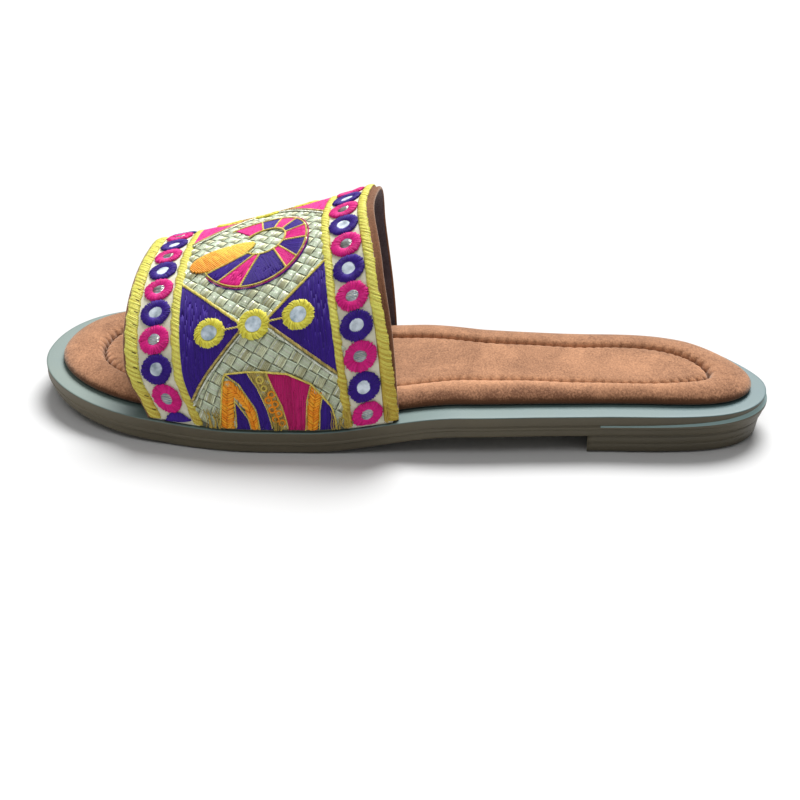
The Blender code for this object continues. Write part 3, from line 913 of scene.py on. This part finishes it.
def rim_dome(u):
    """Height of a rim's stitch along its run from the outer edge to the glass."""
    return np.sin(np.pi * np.clip(0.1 + 0.86 * u, 0.0, 1.0)) ** 0.7


def rim(wide, down, across, tall, open_share, count, loft=1.0, twist=0.1):
    """Radial stitches of one rim, from its outer edge over the ring to the glass."""
    turn = 2.0 * np.pi * (np.arange(count) + rng.uniform(-0.25, 0.25, count)) / count
    u = np.linspace(0.0, 1.0, 6)[None, :]
    lean = rng.uniform(0.0, 6.0)
    inner = open_share * (1.0 + 0.1 * np.cos(2.0 * turn + lean) + 0.07 * np.cos(turn + lean))
    inner = inner + rng.uniform(-0.02, 0.02, count)
    outer = 1.0 + rng.uniform(-0.05, 0.04, count)
    share = outer[:, None] + (inner - outer)[:, None] * u
    angle = turn[:, None] + twist * u
    spread = share * np.pi * 0.5 * (across + tall) / count
    base = loft * (0.02 + 0.78 * rim_dome(u)) + rng.uniform(-0.05, 0.05, (count, 1))
    return strands(
        wide + share * across * np.cos(angle),
        down + share * tall * np.sin(angle),
        np.maximum(base, 0.02),
        1.12 * spread,
        STITCH_RISE,
    )


glass_points = []
glass_faces = []
glass_tones = []


def set_glass(wide, down, across, tall, lift, bright, sides=28):
    """Adds a thin round mirror that lies a little aslant."""
    turn = 2.0 * np.pi * np.arange(sides) / sides
    lean_w, lean_d = rng.uniform(-0.05, 0.05, 2)
    w = across * np.cos(turn)
    d = tall * np.sin(turn)
    tilt = lean_w * w + lean_d * d
    middle = lay(wide, down, np.array([lift, lift - GLASS_THICK]))
    top = lay(wide + w, down + d, lift + tilt)
    foot = lay(wide + w, down + d, lift + tilt - GLASS_THICK)
    points = np.concatenate([middle[:1], top, foot, middle[1:]])
    first = sum(len(disc) for disc in glass_points)
    under = first + 2 * sides + 1
    for k in range(sides):
        a = first + 1 + k
        b = first + 1 + (k + 1) % sides
        glass_faces.append([first, a, b])
        glass_faces.append([a, a + sides, b + sides, b])
        glass_faces.append([under, b + sides, a + sides])
    glass_points.append(points)
    # The glass's tone paints its reflection brighter or darker.
    glass_tones.append(np.full(len(points), bright + rng.uniform(-0.12, 0.12)))


rim_lots = {"purple": [], "pink": []}
rim_nodes = {"purple": [], "pink": []}
silver_lots = []
for row_name, wide, first, inner_end, outer_end in zip(*MIRROR_ROWS.values()):
    for number, k in enumerate(range(inner_end, outer_end + 1), start=1):
        down = first + MIRROR_PITCH * k
        tall = RIM_TALL
        if down > LAST_RIM["down"]:
            down = LAST_RIM["down"]
            tall = LAST_RIM["tall"]
        colour = "purple" if k % 2 == 0 else "pink"
        open_share = OPEN_SHARE[colour]
        rim_lots[colour].append(ring_pad(wide, down, RIM_ACROSS - 0.25, tall - 0.15, open_share, 0.95))
        rim_lots[colour].append(rim(wide, down, RIM_ACROSS, tall + 0.1, open_share, RIM_STITCHES))
        rim_nodes[colour].append(f"mirror_{row_name}_{number:02d}")
        glass_across = (RIM_ACROSS - 0.1) * open_share + 0.45
        set_glass(wide, down, glass_across, tall * open_share + 0.45, 0.55, GLASS_PAINTED_REFLECTION[colour])
        if colour == "pink":
            reach = np.sqrt(np.clip(2.2 ** 2 - SILVER_LINES ** 2, 0.4, None))
            u = np.linspace(-1.0, 1.0, 4)[None, :]
            slope = rng.uniform(-0.25, 0.25, (len(SILVER_LINES), 1))
            silver_lots.append(strands(
                wide + reach[:, None] * u, down + 0.9 * SILVER_LINES[:, None] + slope * u, 0.56, 0.15, 0.16
            ))

# The lowest purple rim of the front row is cut off at the strap's foot, so only
# its upper part is sewn.
wide = MIRROR_ROWS["wide"][0]
down = MIRROR_ROWS["first"][0] + MIRROR_PITCH * (MIRROR_ROWS["outer_side"][0] + 1) + CUT_RIM["lower"]
count = CUT_RIM["stitches"]
turn = np.linspace(-np.pi, 0.0, count)[:, None]
u = np.linspace(0.0, 1.0, 6)[None, :]
share = (1.0 + rng.uniform(-0.04, 0.04, (count, 1))) * (1.0 - 0.75 * u)
rim_lots["purple"].append(strands(
    wide + CUT_RIM["across"] * share * np.cos(turn),
    np.minimum(down + CUT_RIM["tall"] * share * np.sin(turn), foot_limits(wide)[0] - 0.5),
    0.02 + 0.8 * rim_dome(u), 0.36 * share + 0.05, STITCH_RISE,
))

purple_thread = thread("purple_thread", screen(45, 16, 116), screen(63, 27, 152), 0.6)
pink_thread = thread("pink_thread", screen(198, 10, 112), screen(244, 42, 156), 0.55)
silver_thread = thread("silver_thread", screen(130, 132, 120), screen(236, 236, 226), 0.28, 0.85)
purple_rims = sew("purple_rims", rim_lots["purple"], purple_thread)
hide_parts(*rim_nodes["purple"])
pink_rims = sew("pink_rims", rim_lots["pink"], pink_thread)
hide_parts(*rim_nodes["pink"])
sew("silver_over_glass", silver_lots, silver_thread)

# Bows: two satin-stitched triangles that meet at the middle of the panel, with
# three yellow buttonhole-stitched mirrors along the waist. The bow on the outer
# side is purple and the next one, over the instep, is pink.
PANEL_FROM = 19.7
PANEL_TO = 69.3
BOWS = {
    "name": ("outer", "inner"),
    "down": (51.3, -17.0),
    "colour": ("purple", "pink"),
}
BOW_HALVES = {
    "edge": (PANEL_FROM - 0.3, PANEL_TO + 0.2),
    "waist": (40.6, 49.2),
    "above": (21.3, 17.6),
    "below": (21.6, 22.0),
}
WAIST_HALF = 0.9
BOW_MIRRORS = (0.338 * STRIP, 0.508 * STRIP, 0.676 * STRIP)
BOW_PAD = {"across": 4.8, "tall": 4.8, "open_share": 0.46, "loft": 1.25}
BOW_RIM = {"across": 5.35, "tall": 5.25, "open_share": 0.39, "count": 66, "loft": 1.3, "twist": 0.35}
BOW_GLASS = {"across": 2.7, "tall": 2.75, "lift": 1.15, "bright": 0.3}
JOIN_FROM = 5.0
SILVER_BESIDE = 1.5


def inside_shape(wide, down, shape):
    """True where a point lies inside a polygon."""
    wide = np.asarray(wide, float)
    down = np.asarray(down, float)
    inside = np.zeros(np.broadcast(wide, down).shape, bool)
    for (w0, d0), (w1, d1) in zip(shape, shape[1:] + shape[:1]):
        crosses = (d0 > down) != (d1 > down)
        with np.errstate(divide="ignore", invalid="ignore"):
            at = (w1 - w0) * (down - d0) / (d1 - d0) + w0
        inside ^= crosses & (wide < at)
    return inside


def fill(shape, angle, pitch=0.38, stitch=13.0, base=0.5, rise=0.22, shade_of=None):
    """Satin filling: rows of stitches at an angle, cut at the shape's edge."""
    turn = math.radians(angle)
    run = np.array([math.cos(turn), math.sin(turn)])
    step = np.array([-run[1], run[0]])
    corner = np.array(shape)
    along = corner @ run
    aside = corner @ step
    begins = []
    finishes = []
    for level in np.arange(aside.min() + 0.5 * pitch, aside.max(), pitch):
        cuts = []
        for i in range(len(shape)):
            a0, a1 = aside[i], aside[(i + 1) % len(shape)]
            if (a0 > level) != (a1 > level):
                u = (level - a0) / (a1 - a0)
                cuts.append(along[i] + u * (along[(i + 1) % len(shape)] - along[i]))
        cuts.sort()
        for begin, finish in zip(cuts[::2], cuts[1::2]):
            spare = rng.uniform(0.0, stitch)
            marks = [begin]
            mark = begin + spare
            while mark < finish - 1.0:
                if mark > begin + 1.0:
                    marks.append(mark)
                mark += stitch * rng.uniform(0.8, 1.2)
            marks.append(finish)
            for m0, m1 in zip(marks, marks[1:]):
                begins.append(m0 * run + level * step)
                finishes.append(m1 * run + level * step)
    begins = np.array(begins)
    finishes = np.array(finishes)
    u = np.linspace(0.0, 1.0, 6)[None, :]
    jitter = rng.uniform(-0.04, 0.04, (len(begins), 1))
    wide = begins[:, :1] + (finishes - begins)[:, :1] * u + jitter * step[0]
    down = begins[:, 1:] + (finishes - begins)[:, 1:] * u + jitter * step[1]
    low, high = foot_limits(wide)
    held = ((down < low - 0.9) & (down > high + 0.9)).any(axis=1)
    wide = wide[held]
    down = np.clip(down, high + 0.4, low - 0.4)[held]
    dome = np.sin(np.pi * np.clip(0.2 + 0.6 * u, 0.0, 1.0)) ** 0.5
    lift = base + rng.uniform(-0.02, 0.02, (len(wide), 1)) + 0.05 * dome
    shade = None if shade_of is None else shade_of(wide.mean(axis=1), down.mean(axis=1))
    return strands(wide, down, lift, 0.58 * pitch, rise * dome, shade)


def walk(path, run, at, reach):
    """Points at lengths along a line, and its direction over a short reach there."""
    behind, spot, ahead = (
        np.stack([np.interp(at + away, run, path[:, k]) for k in (0, 1)], 1) for away in (-reach, 0.0, reach)
    )
    go = ahead - behind
    return spot, go / np.linalg.norm(go, axis=1)[:, None]


def cord_line(path, closed=False, pitch=0.95, size=1.0, base=0.62):
    """Twisted outline stitch: short slanted stitches that follow a line."""
    path = np.array(path + path[:1] if closed else path, float)
    run = lengths(path)
    count = max(2, int(run[-1] / pitch))
    at = (np.arange(count) + 0.5) * run[-1] / count
    spot, go = walk(path, run, at, 0.4)
    lean = 0.42 + rng.uniform(-0.12, 0.12, count)
    run_w = go[:, 0] * np.cos(lean) - go[:, 1] * np.sin(lean)
    run_d = go[:, 0] * np.sin(lean) + go[:, 1] * np.cos(lean)
    u = np.linspace(-0.85, 0.85, 5)[None, :] * size
    wide = spot[:, :1] + run_w[:, None] * u
    down = spot[:, 1:] + run_d[:, None] * u
    low, high = foot_limits(wide)
    held = ((down < low - 0.4) & (down > high + 0.4)).all(axis=1)
    dome = np.sin(np.pi * np.linspace(0.1, 0.9, 5))[None, :] ** 0.6
    return strands(
        wide[held], down[held], base - 0.1 + 0.16 * dome, 0.34 * size * dome, 0.44 * dome
    )


shapes = []
fills = {"purple": [], "pink": [], "orange": [], "gold": [], "magenta": [], "gilt": []}
outlines = []
gilt_lines = []
silver_cords = []
bow_rims = []
bow_nodes = []
for bow_name, centre, colour in zip(*BOWS.values()):
    for edge, waist, above, below in zip(*BOW_HALVES.values()):
        half = [(edge, centre - above), (waist, centre - WAIST_HALF)]
        half += [(waist, centre + WAIST_HALF), (edge, centre + below)]
        shapes.append(half)
        fills[colour].append(fill(half, 90.0))
        outlines.append(cord_line(half[:2], size=1.1, pitch=0.8))
        gilt_lines.append(cord_line(half[2:], size=1.1, pitch=0.8))
        beside = [(wide, down + SILVER_BESIDE) for wide, down in half[2:]]
        silver_cords.append(cord_line(beside, size=0.9, pitch=0.75, base=0.5))
    for first, second in zip(BOW_MIRRORS, BOW_MIRRORS[1:]):
        join = [(first + JOIN_FROM, centre), (second - JOIN_FROM, centre)]
        outlines.append(cord_line(join, size=0.8, base=0.85))
    for number, wide in enumerate(BOW_MIRRORS, start=1):
        bow_rims.append(ring_pad(wide, centre, **BOW_PAD))
        bow_rims.append(rim(wide, centre, **BOW_RIM))
        bow_nodes.append(f"mirror_bow_{bow_name}_{number:02d}")
        set_glass(wide, centre, **BOW_GLASS)
lemon_thread = thread("lemon_thread", screen(204, 188, 38), screen(252, 248, 108))
yellow_rims = sew("yellow_rims", bow_rims, lemon_thread)
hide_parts(*bow_nodes)

# Wheels: one between the bows and one at the inner foot. Purple and pink wedges of
# satin stitch, edged with twisted yellow lines, are set off centre round a field of
# metal thread, and a golden leaf lies across the open side.
WEDGE_COLOURS = ("purple", "pink") * 5
INNER_CUTS = (135, 112, 98, 61, 46, 26, -12, -37, -66, -98, -135)
OUTER_CUTS = (149, 129, 102, 52, 36, 8, -16, -40, -64, -88, -118)
WEDGE_LEAN = {"purple": -6.0, "pink": 8.0}
WHEEL_CENTRES = (17.0, -51.2)
WHEEL_WIDE = 44.5
WHEEL_RADIUS = 19.4
HUB_WIDE = 48.3
HUB_UP = 2.2
HUB_RADIUS = 7.9
LEAF = {"wide": 33.2, "down": 2.0, "half_long": 12.4, "half_thick": 5.6}
LEAF_ALONG = (0.956, 0.292)
LEAF_STITCH = {"angle": 52.0, "pitch": 0.62, "stitch": 4.0, "base": 0.62, "rise": 0.5}
# Painted shadow: the purple line just outside the pink edge line stands for the shadow under the raised
# edge.
WHEEL_LINES = (
    (outlines, 0.1, 152, -122, 120, {"size": 0.6, "pitch": 0.65}),
    (fills["pink"], 0.8, 146, -118, 120, {"size": 0.4, "pitch": 0.6, "base": 0.4}),
    (fills["purple"], 1.2, 140, 10, 80, {"size": 0.45, "pitch": 0.6, "base": 0.35}),
)


def arc(wide, down, radius, begin, finish, count=9):
    turn = np.radians(np.linspace(begin, finish, count))
    return [(wide + radius * math.cos(a), down + radius * math.sin(a)) for a in turn]


def leaf_shade(wide, down, centre):
    """Leaf stitches go from orange low in front to gold above and behind."""
    bright = 0.55 + 0.04 * (wide - LEAF["wide"]) - 0.1 * (down - centre - LEAF["down"])
    return np.clip(bright + rng.uniform(-0.4, 0.4, len(wide)), 0.0, 1.0)


for centre in WHEEL_CENTRES:
    hub = (HUB_WIDE, centre - HUB_UP)
    cuts = (INNER_CUTS, INNER_CUTS[1:], OUTER_CUTS, OUTER_CUTS[1:])
    for colour, i0, i1, o0, o1 in zip(WEDGE_COLOURS, *cuts):
        inner_edge = arc(*hub, HUB_RADIUS, i0, i1)
        outer_edge = arc(WHEEL_WIDE, centre, WHEEL_RADIUS, o0, o1)
        wedge = inner_edge + outer_edge[::-1]
        shapes.append(wedge)
        fills[colour].append(fill(wedge, 0.5 * (o0 + o1) + WEDGE_LEAN[colour]))
        outlines.append(cord_line([inner_edge[0], outer_edge[0]], size=0.8, pitch=0.8))
    outlines.append(cord_line(arc(*hub, HUB_RADIUS, 140, -140, 60), size=0.8, pitch=0.8))
    for lots, away, begin, finish, count, stitch in WHEEL_LINES:
        edge = arc(WHEEL_WIDE, centre, WHEEL_RADIUS + away, begin, finish, count)
        lots.append(cord_line(edge, **stitch))
    leaf = []
    for turn in np.linspace(0.0, 2.0 * np.pi, 36, endpoint=False):
        a = LEAF["half_long"] * math.cos(turn)
        b = LEAF["half_thick"] * math.sin(turn) * (1.0 - 0.2 * math.cos(turn))
        leaf.append((
            LEAF["wide"] + LEAF_ALONG[0] * a + LEAF_ALONG[1] * b,
            centre + LEAF["down"] - LEAF_ALONG[1] * a + LEAF_ALONG[0] * b,
        ))
    shapes.append(leaf)
    shade_of = lambda wide, down: leaf_shade(wide, down, centre)
    fills["gold"].append(fill(leaf, **LEAF_STITCH, shade_of=shade_of))

# Fan: the wheel nearest the outer foot of the strap, cut off at the foot. It has
# an orange arch, purple wedges, a pink wedge in a darker copy of the pink thread
# as painted shade, and a gilt strip with looped stitches.
FAN = {
    "orange_arch": ("orange", 78.0, [
        (25.6, 84.0), (30.4, 73.5), (32.6, 68.2), (34.9, 68.3), (37.3, 71.3), (39.4, 76.0),
        (40.2, 81.0), (39.4, 92.0), (37.4, 92.0), (37.3, 81.6), (36.1, 76.0), (34.5, 74.2),
        (32.9, 78.0), (29.6, 90.0), (25.0, 90.0),
    ]),
    "purple_core": ("purple", 90.0, [(34.4, 75.0), (37.0, 82.0), (37.2, 93.0), (29.8, 93.0)]),
    "purple_wedge": ("purple", 84.0, [
        (33.6, 66.0), (40.8, 66.6), (43.2, 72.4), (44.3, 80.0), (44.6, 93.0), (39.6, 93.0),
        (40.5, 79.3), (37.6, 70.3),
    ]),
    "gilt_strip": ("gilt", 80.0, [
        (41.2, 66.8), (46.8, 67.8), (48.3, 74.9), (49.3, 80.9), (50.0, 95.0), (44.8, 95.0),
        (44.6, 80.6), (43.6, 73.6),
    ]),
    "pink_wedge_painted_shade": ("magenta", 100.0, [
        (47.0, 68.0), (53.6, 69.8), (60.7, 74.8), (58.2, 80.0), (54.6, 95.0), (50.1, 95.0),
        (49.5, 80.0),
    ]),
    "orange_side": ("orange", 98.0, [
        (60.6, 75.2), (63.5, 79.2), (61.4, 84.7), (59.0, 96.0), (54.8, 96.0), (57.6, 82.6),
    ]),
    "purple_side": ("purple", 98.0, [
        (63.5, 79.8), (66.0, 83.8), (66.6, 89.0), (65.9, 97.0), (59.4, 97.0), (61.8, 84.4),
    ]),
}
GROUND_STITCH = {"pitch": 0.6, "stitch": 3.0, "base": 0.34, "rise": 0.2}
for colour, angle, shape in FAN.values():
    shapes.append(shape)
    if colour in ("orange", "gilt"):
        fills[colour].append(fill(shape, angle, **GROUND_STITCH))
    else:
        fills[colour].append(fill(shape, angle))
        outlines.append(cord_line(shape, True, size=0.62, pitch=0.75))


def braid(path, half, pitch=0.85):
    """Two rows of short stitches that lean together like a wheat ear."""
    path = np.array(path, float)
    run = lengths(path)
    at = np.arange(1.3, run[-1], pitch)
    spot, go = walk(path, run, at, 0.6)
    out = np.stack([-go[:, 1], go[:, 0]], 1)
    u = np.linspace(0.0, 1.0, 5)[None, :, None]
    lots = []
    for sign in (1.0, -1.0):
        jitter = rng.uniform(-0.15, 0.15, (len(at), 1, 1))
        line = spot[:, None] + sign * out[:, None] * (half + jitter) * u
        line = line + go[:, None] * (1.5 * (0.4 - u) + jitter)
        low, _ = foot_limits(line[..., 0])
        held = (line[..., 1] < low - 0.3).all(axis=1)
        dome = np.sin(np.pi * np.linspace(0.15, 0.9, 5))[None, :] ** 0.6
        lots.append(strands(
            line[held, :, 0], line[held, :, 1], 0.4 + 0.25 * dome, 0.44 * dome, 0.42 * dome
        ))
    return lots


BRAIDS = (
    (2.3, ((34.2, 69.6), (32.5, 73.5), (29.3, 82.0), (26.6, 92.0))),
    (1.5, ((34.2, 69.4), (36.6, 73.4), (38.4, 78.4), (38.6, 93.0))),
    (1.9, ((62.0, 77.4), (59.8, 83.4), (56.9, 96.0))),
)
for half, path in BRAIDS:
    fills["orange"] += braid(path, half)
FAN_EDGE = ((25.6, 84.0), (30.4, 73.5), (32.8, 67.6), (33.6, 66.0), (40.8, 66.6), (46.8, 67.8),
            (53.6, 69.8), (60.7, 74.8), (63.6, 79.5), (66.0, 83.8), (66.6, 89.0), (65.9, 97.0))
outlines.append(cord_line(list(FAN_EDGE), size=0.75, pitch=0.7, base=0.7))
YELLOW_LOOPS = ((44.6, 69.9, 1.5), (45.3, 72.9, 1.2))
ORANGE_LOOPS = {"count": 9, "wide": 46.3, "down": 75.4, "step_wide": 0.17, "step_down": 1.7, "sway": 0.85}
LOOP_SIDES = 16
for wide, down, size in YELLOW_LOOPS:
    outlines.append(ring_pad(wide, down, size, size, 0.5, 1.3, LOOP_SIDES))
for k in range(ORANGE_LOOPS["count"]):
    wide = ORANGE_LOOPS["wide"] + ORANGE_LOOPS["step_wide"] * k + ORANGE_LOOPS["sway"] * (-1) ** k
    down = ORANGE_LOOPS["down"] + ORANGE_LOOPS["step_down"] * k
    if down < foot_limits(wide)[0] - 1.5:
        loft = 1.25 + 0.1 * (k % 2)
        fills["orange"].append(ring_pad(wide, down, 1.45, 1.35, 0.5, loft, LOOP_SIDES))
orange_thread = thread("orange_thread", screen(234, 122, 10), screen(255, 188, 52), 0.5)
gold_thread = thread("gold_thread", screen(236, 132, 8), screen(255, 236, 104), 0.5)
gilt_thread = thread("gilt_thread", screen(118, 96, 46), screen(216, 192, 110), 0.4, 0.3)
# Painted shade: the fan's pink wedge uses a darker copy of the pink thread.
pink_thread_painted_shade = thread("pink_thread_painted_shade", screen(162, 10, 84), screen(212, 26, 120), 0.55)
purple_fill = sew("purple_filling", fills["purple"], purple_thread)
pink_fill = sew("pink_filling", fills["pink"], pink_thread)
sew("orange_filling", fills["orange"], orange_thread)
sew("gold_filling", fills["gold"], gold_thread)
sew("gilt_lines", fills["gilt"] + gilt_lines, gilt_thread)
sew("pink_filling_painted_shade", fills["magenta"], pink_thread_painted_shade)
line_yellow = thread("line_yellow", screen(192, 168, 58), screen(244, 230, 128))
outline_stitches = sew("outline_stitches", outlines, line_yellow)

# Metal-thread ground: a diagonal basket weave of flat silver-gold bundles that
# covers the panel between the motifs.
CELL = 3.75
CELL_FILL = 0.93
CELL_CENTRE = (44.5, 10.0)
CELL_TURN = math.radians(40.0)
COVER = 2.4
GLINT_LANE = 4
weave = {"silver": [], "gold": [], "glint": silver_cords}
span = np.arange(-40, 41)
cell_i, cell_j = (axis.ravel() for axis in np.meshgrid(span, span))
cell_wide = CELL_CENTRE[0] + CELL * (cell_i * math.cos(CELL_TURN) - cell_j * math.sin(CELL_TURN))
cell_down = CELL_CENTRE[1] + CELL * (cell_i * math.sin(CELL_TURN) + cell_j * math.cos(CELL_TURN))
low, high = foot_limits(cell_wide)
held = (cell_wide > PANEL_FROM - 1.5) & (cell_wide < PANEL_TO + 1.5)
held &= (cell_down < low - 1.4) & (cell_down > high + 1.4)
for shape in shapes:
    covered = np.ones(len(cell_wide), bool)
    for step_w, step_d in ((COVER, 0.0), (-COVER, 0.0), (0.0, COVER), (0.0, -COVER)):
        covered &= inside_shape(cell_wide + step_w, cell_down + step_d, shape)
    held &= ~covered
u = np.linspace(-0.5, 0.5, 5)
arch = np.cos(np.pi * u)[None, :] ** 0.5
for metal, odd, lanes in (("silver", 0, 9), ("gold", 1, 6)):
    part = held & ((cell_i + cell_j) % 2 == odd)
    heading = CELL_TURN + odd * np.pi / 2.0 + rng.uniform(-0.07, 0.07, (part.sum(), 1))
    run_w, run_d = np.cos(heading), np.sin(heading)
    cell_shade = rng.uniform(0.25, 0.75, part.sum())
    for lane in range(lanes):
        aside = ((lane + 0.5) / lanes - 0.5) * CELL * CELL_FILL
        puff = 1.0 - 0.6 * (2.0 * (lane + 0.5) / lanes - 1.0) ** 2
        reach = CELL * 0.98 + rng.uniform(-0.2, 0.2, (part.sum(), 1))
        wide = cell_wide[part, None] + run_w * reach * u - run_d * aside
        down = cell_down[part, None] + run_d * reach * u + run_w * aside
        bright = 0.4 if lane in (0, lanes - 1) else 0.0
        # Painted shade: the bundles are darker toward the outer foot.
        low_painted_shade = 0.3 * ramp(cell_down[part], 46.0, 72.0)
        shade = cell_shade + bright - low_painted_shade + rng.uniform(-0.2, 0.2, part.sum()) * (1 + odd)
        shade = np.clip(shade, 0.0, 1.0)
        half = 0.56 * CELL * CELL_FILL / lanes
        weave["glint" if lane == GLINT_LANE else metal].append(
            strands(wide, down, 0.02 + 0.4 * arch * puff, half, 0.06 + 0.1 * arch, shade)
        )
pale_gold = thread("pale_gold_thread", screen(150, 144, 100), screen(236, 244, 210), 0.42, 0.32)
pale_silver = thread("pale_silver_thread", screen(172, 176, 144), screen(236, 252, 228), 0.5, 0.13)
silver_weave = sew("silver_weave", weave["silver"], pale_silver)
gold_weave = sew("gold_weave", weave["gold"], pale_gold)
bright_metal = thread("bright_metal_thread", screen(168, 172, 150), screen(246, 250, 236), 0.3, 0.6)
glint_weave = sew("glint_weave", weave["glint"], bright_metal)

# Glass of all the mirrors: thin cut discs, silvered behind and a little blue, held
# by the inner ends of the stitches round them.
mirror_glass, start = new_finish("mirror_glass")
spot = start.add("ShaderNodeTexCoord", output="Object")
bright = start.add("ShaderNodeAttribute", {"attribute_name": "tone"}, None, "Fac")
# Painted reflection: the tone and a streaky noise make each glass brighter or darker.
painted_reflection = (bright + (noise(spot, 330.0, 3.0) - 0.5) * 2.4).clamp()
set_finish(
    mirror_glass,
    Base_Color=start.mix(painted_reflection, screen(118, 138, 150), screen(224, 234, 244)),
    Metallic=0.3,
    Roughness=0.3 + 0.15 * painted_reflection,
)
make_piece(
    "mirror_glasses", np.concatenate(glass_points), glass_faces, [mirror_glass], smooth=False,
    tone=np.concatenate(glass_tones),
)

# Loose ends: where the strip is cut and tucked at the outer foot, some threads
# have come free and lie against the cloth.
LOOSE = {
    "wide": (24.5, 47.5, 66.8, 70.5, 84.5),
    "count": (16, 7, 8, 7, 6),
    "spread": (2.8, 1.8, 1.8, 1.2, 0.9),
}
loose_lots = []
for middle, count, spread in zip(*LOOSE.values()):
    wide = middle + rng.uniform(-spread, spread, (count, 1))
    low, _ = foot_limits(wide)
    u = np.linspace(0.0, 1.0, 7)[None, :]
    reach = rng.uniform(3.0, 7.0, (count, 1))
    bend = rng.uniform(-0.9, 0.9, (count, 1))
    wave = 0.35 * np.sin(2.0 * np.pi * u * rng.uniform(0.6, 1.3, (count, 1)))
    loose_lots.append(strands(
        wide + bend * u * u + wave,
        low - 0.4 - reach * (1.0 - u),
        0.75 + 0.5 * u + rng.uniform(0.0, 0.3, (count, 1)),
        0.13,
        0.2,
    ))
loose = sew("loose_ends", loose_lots, thread("loose_thread", screen(150, 118, 40), screen(222, 196, 96)))
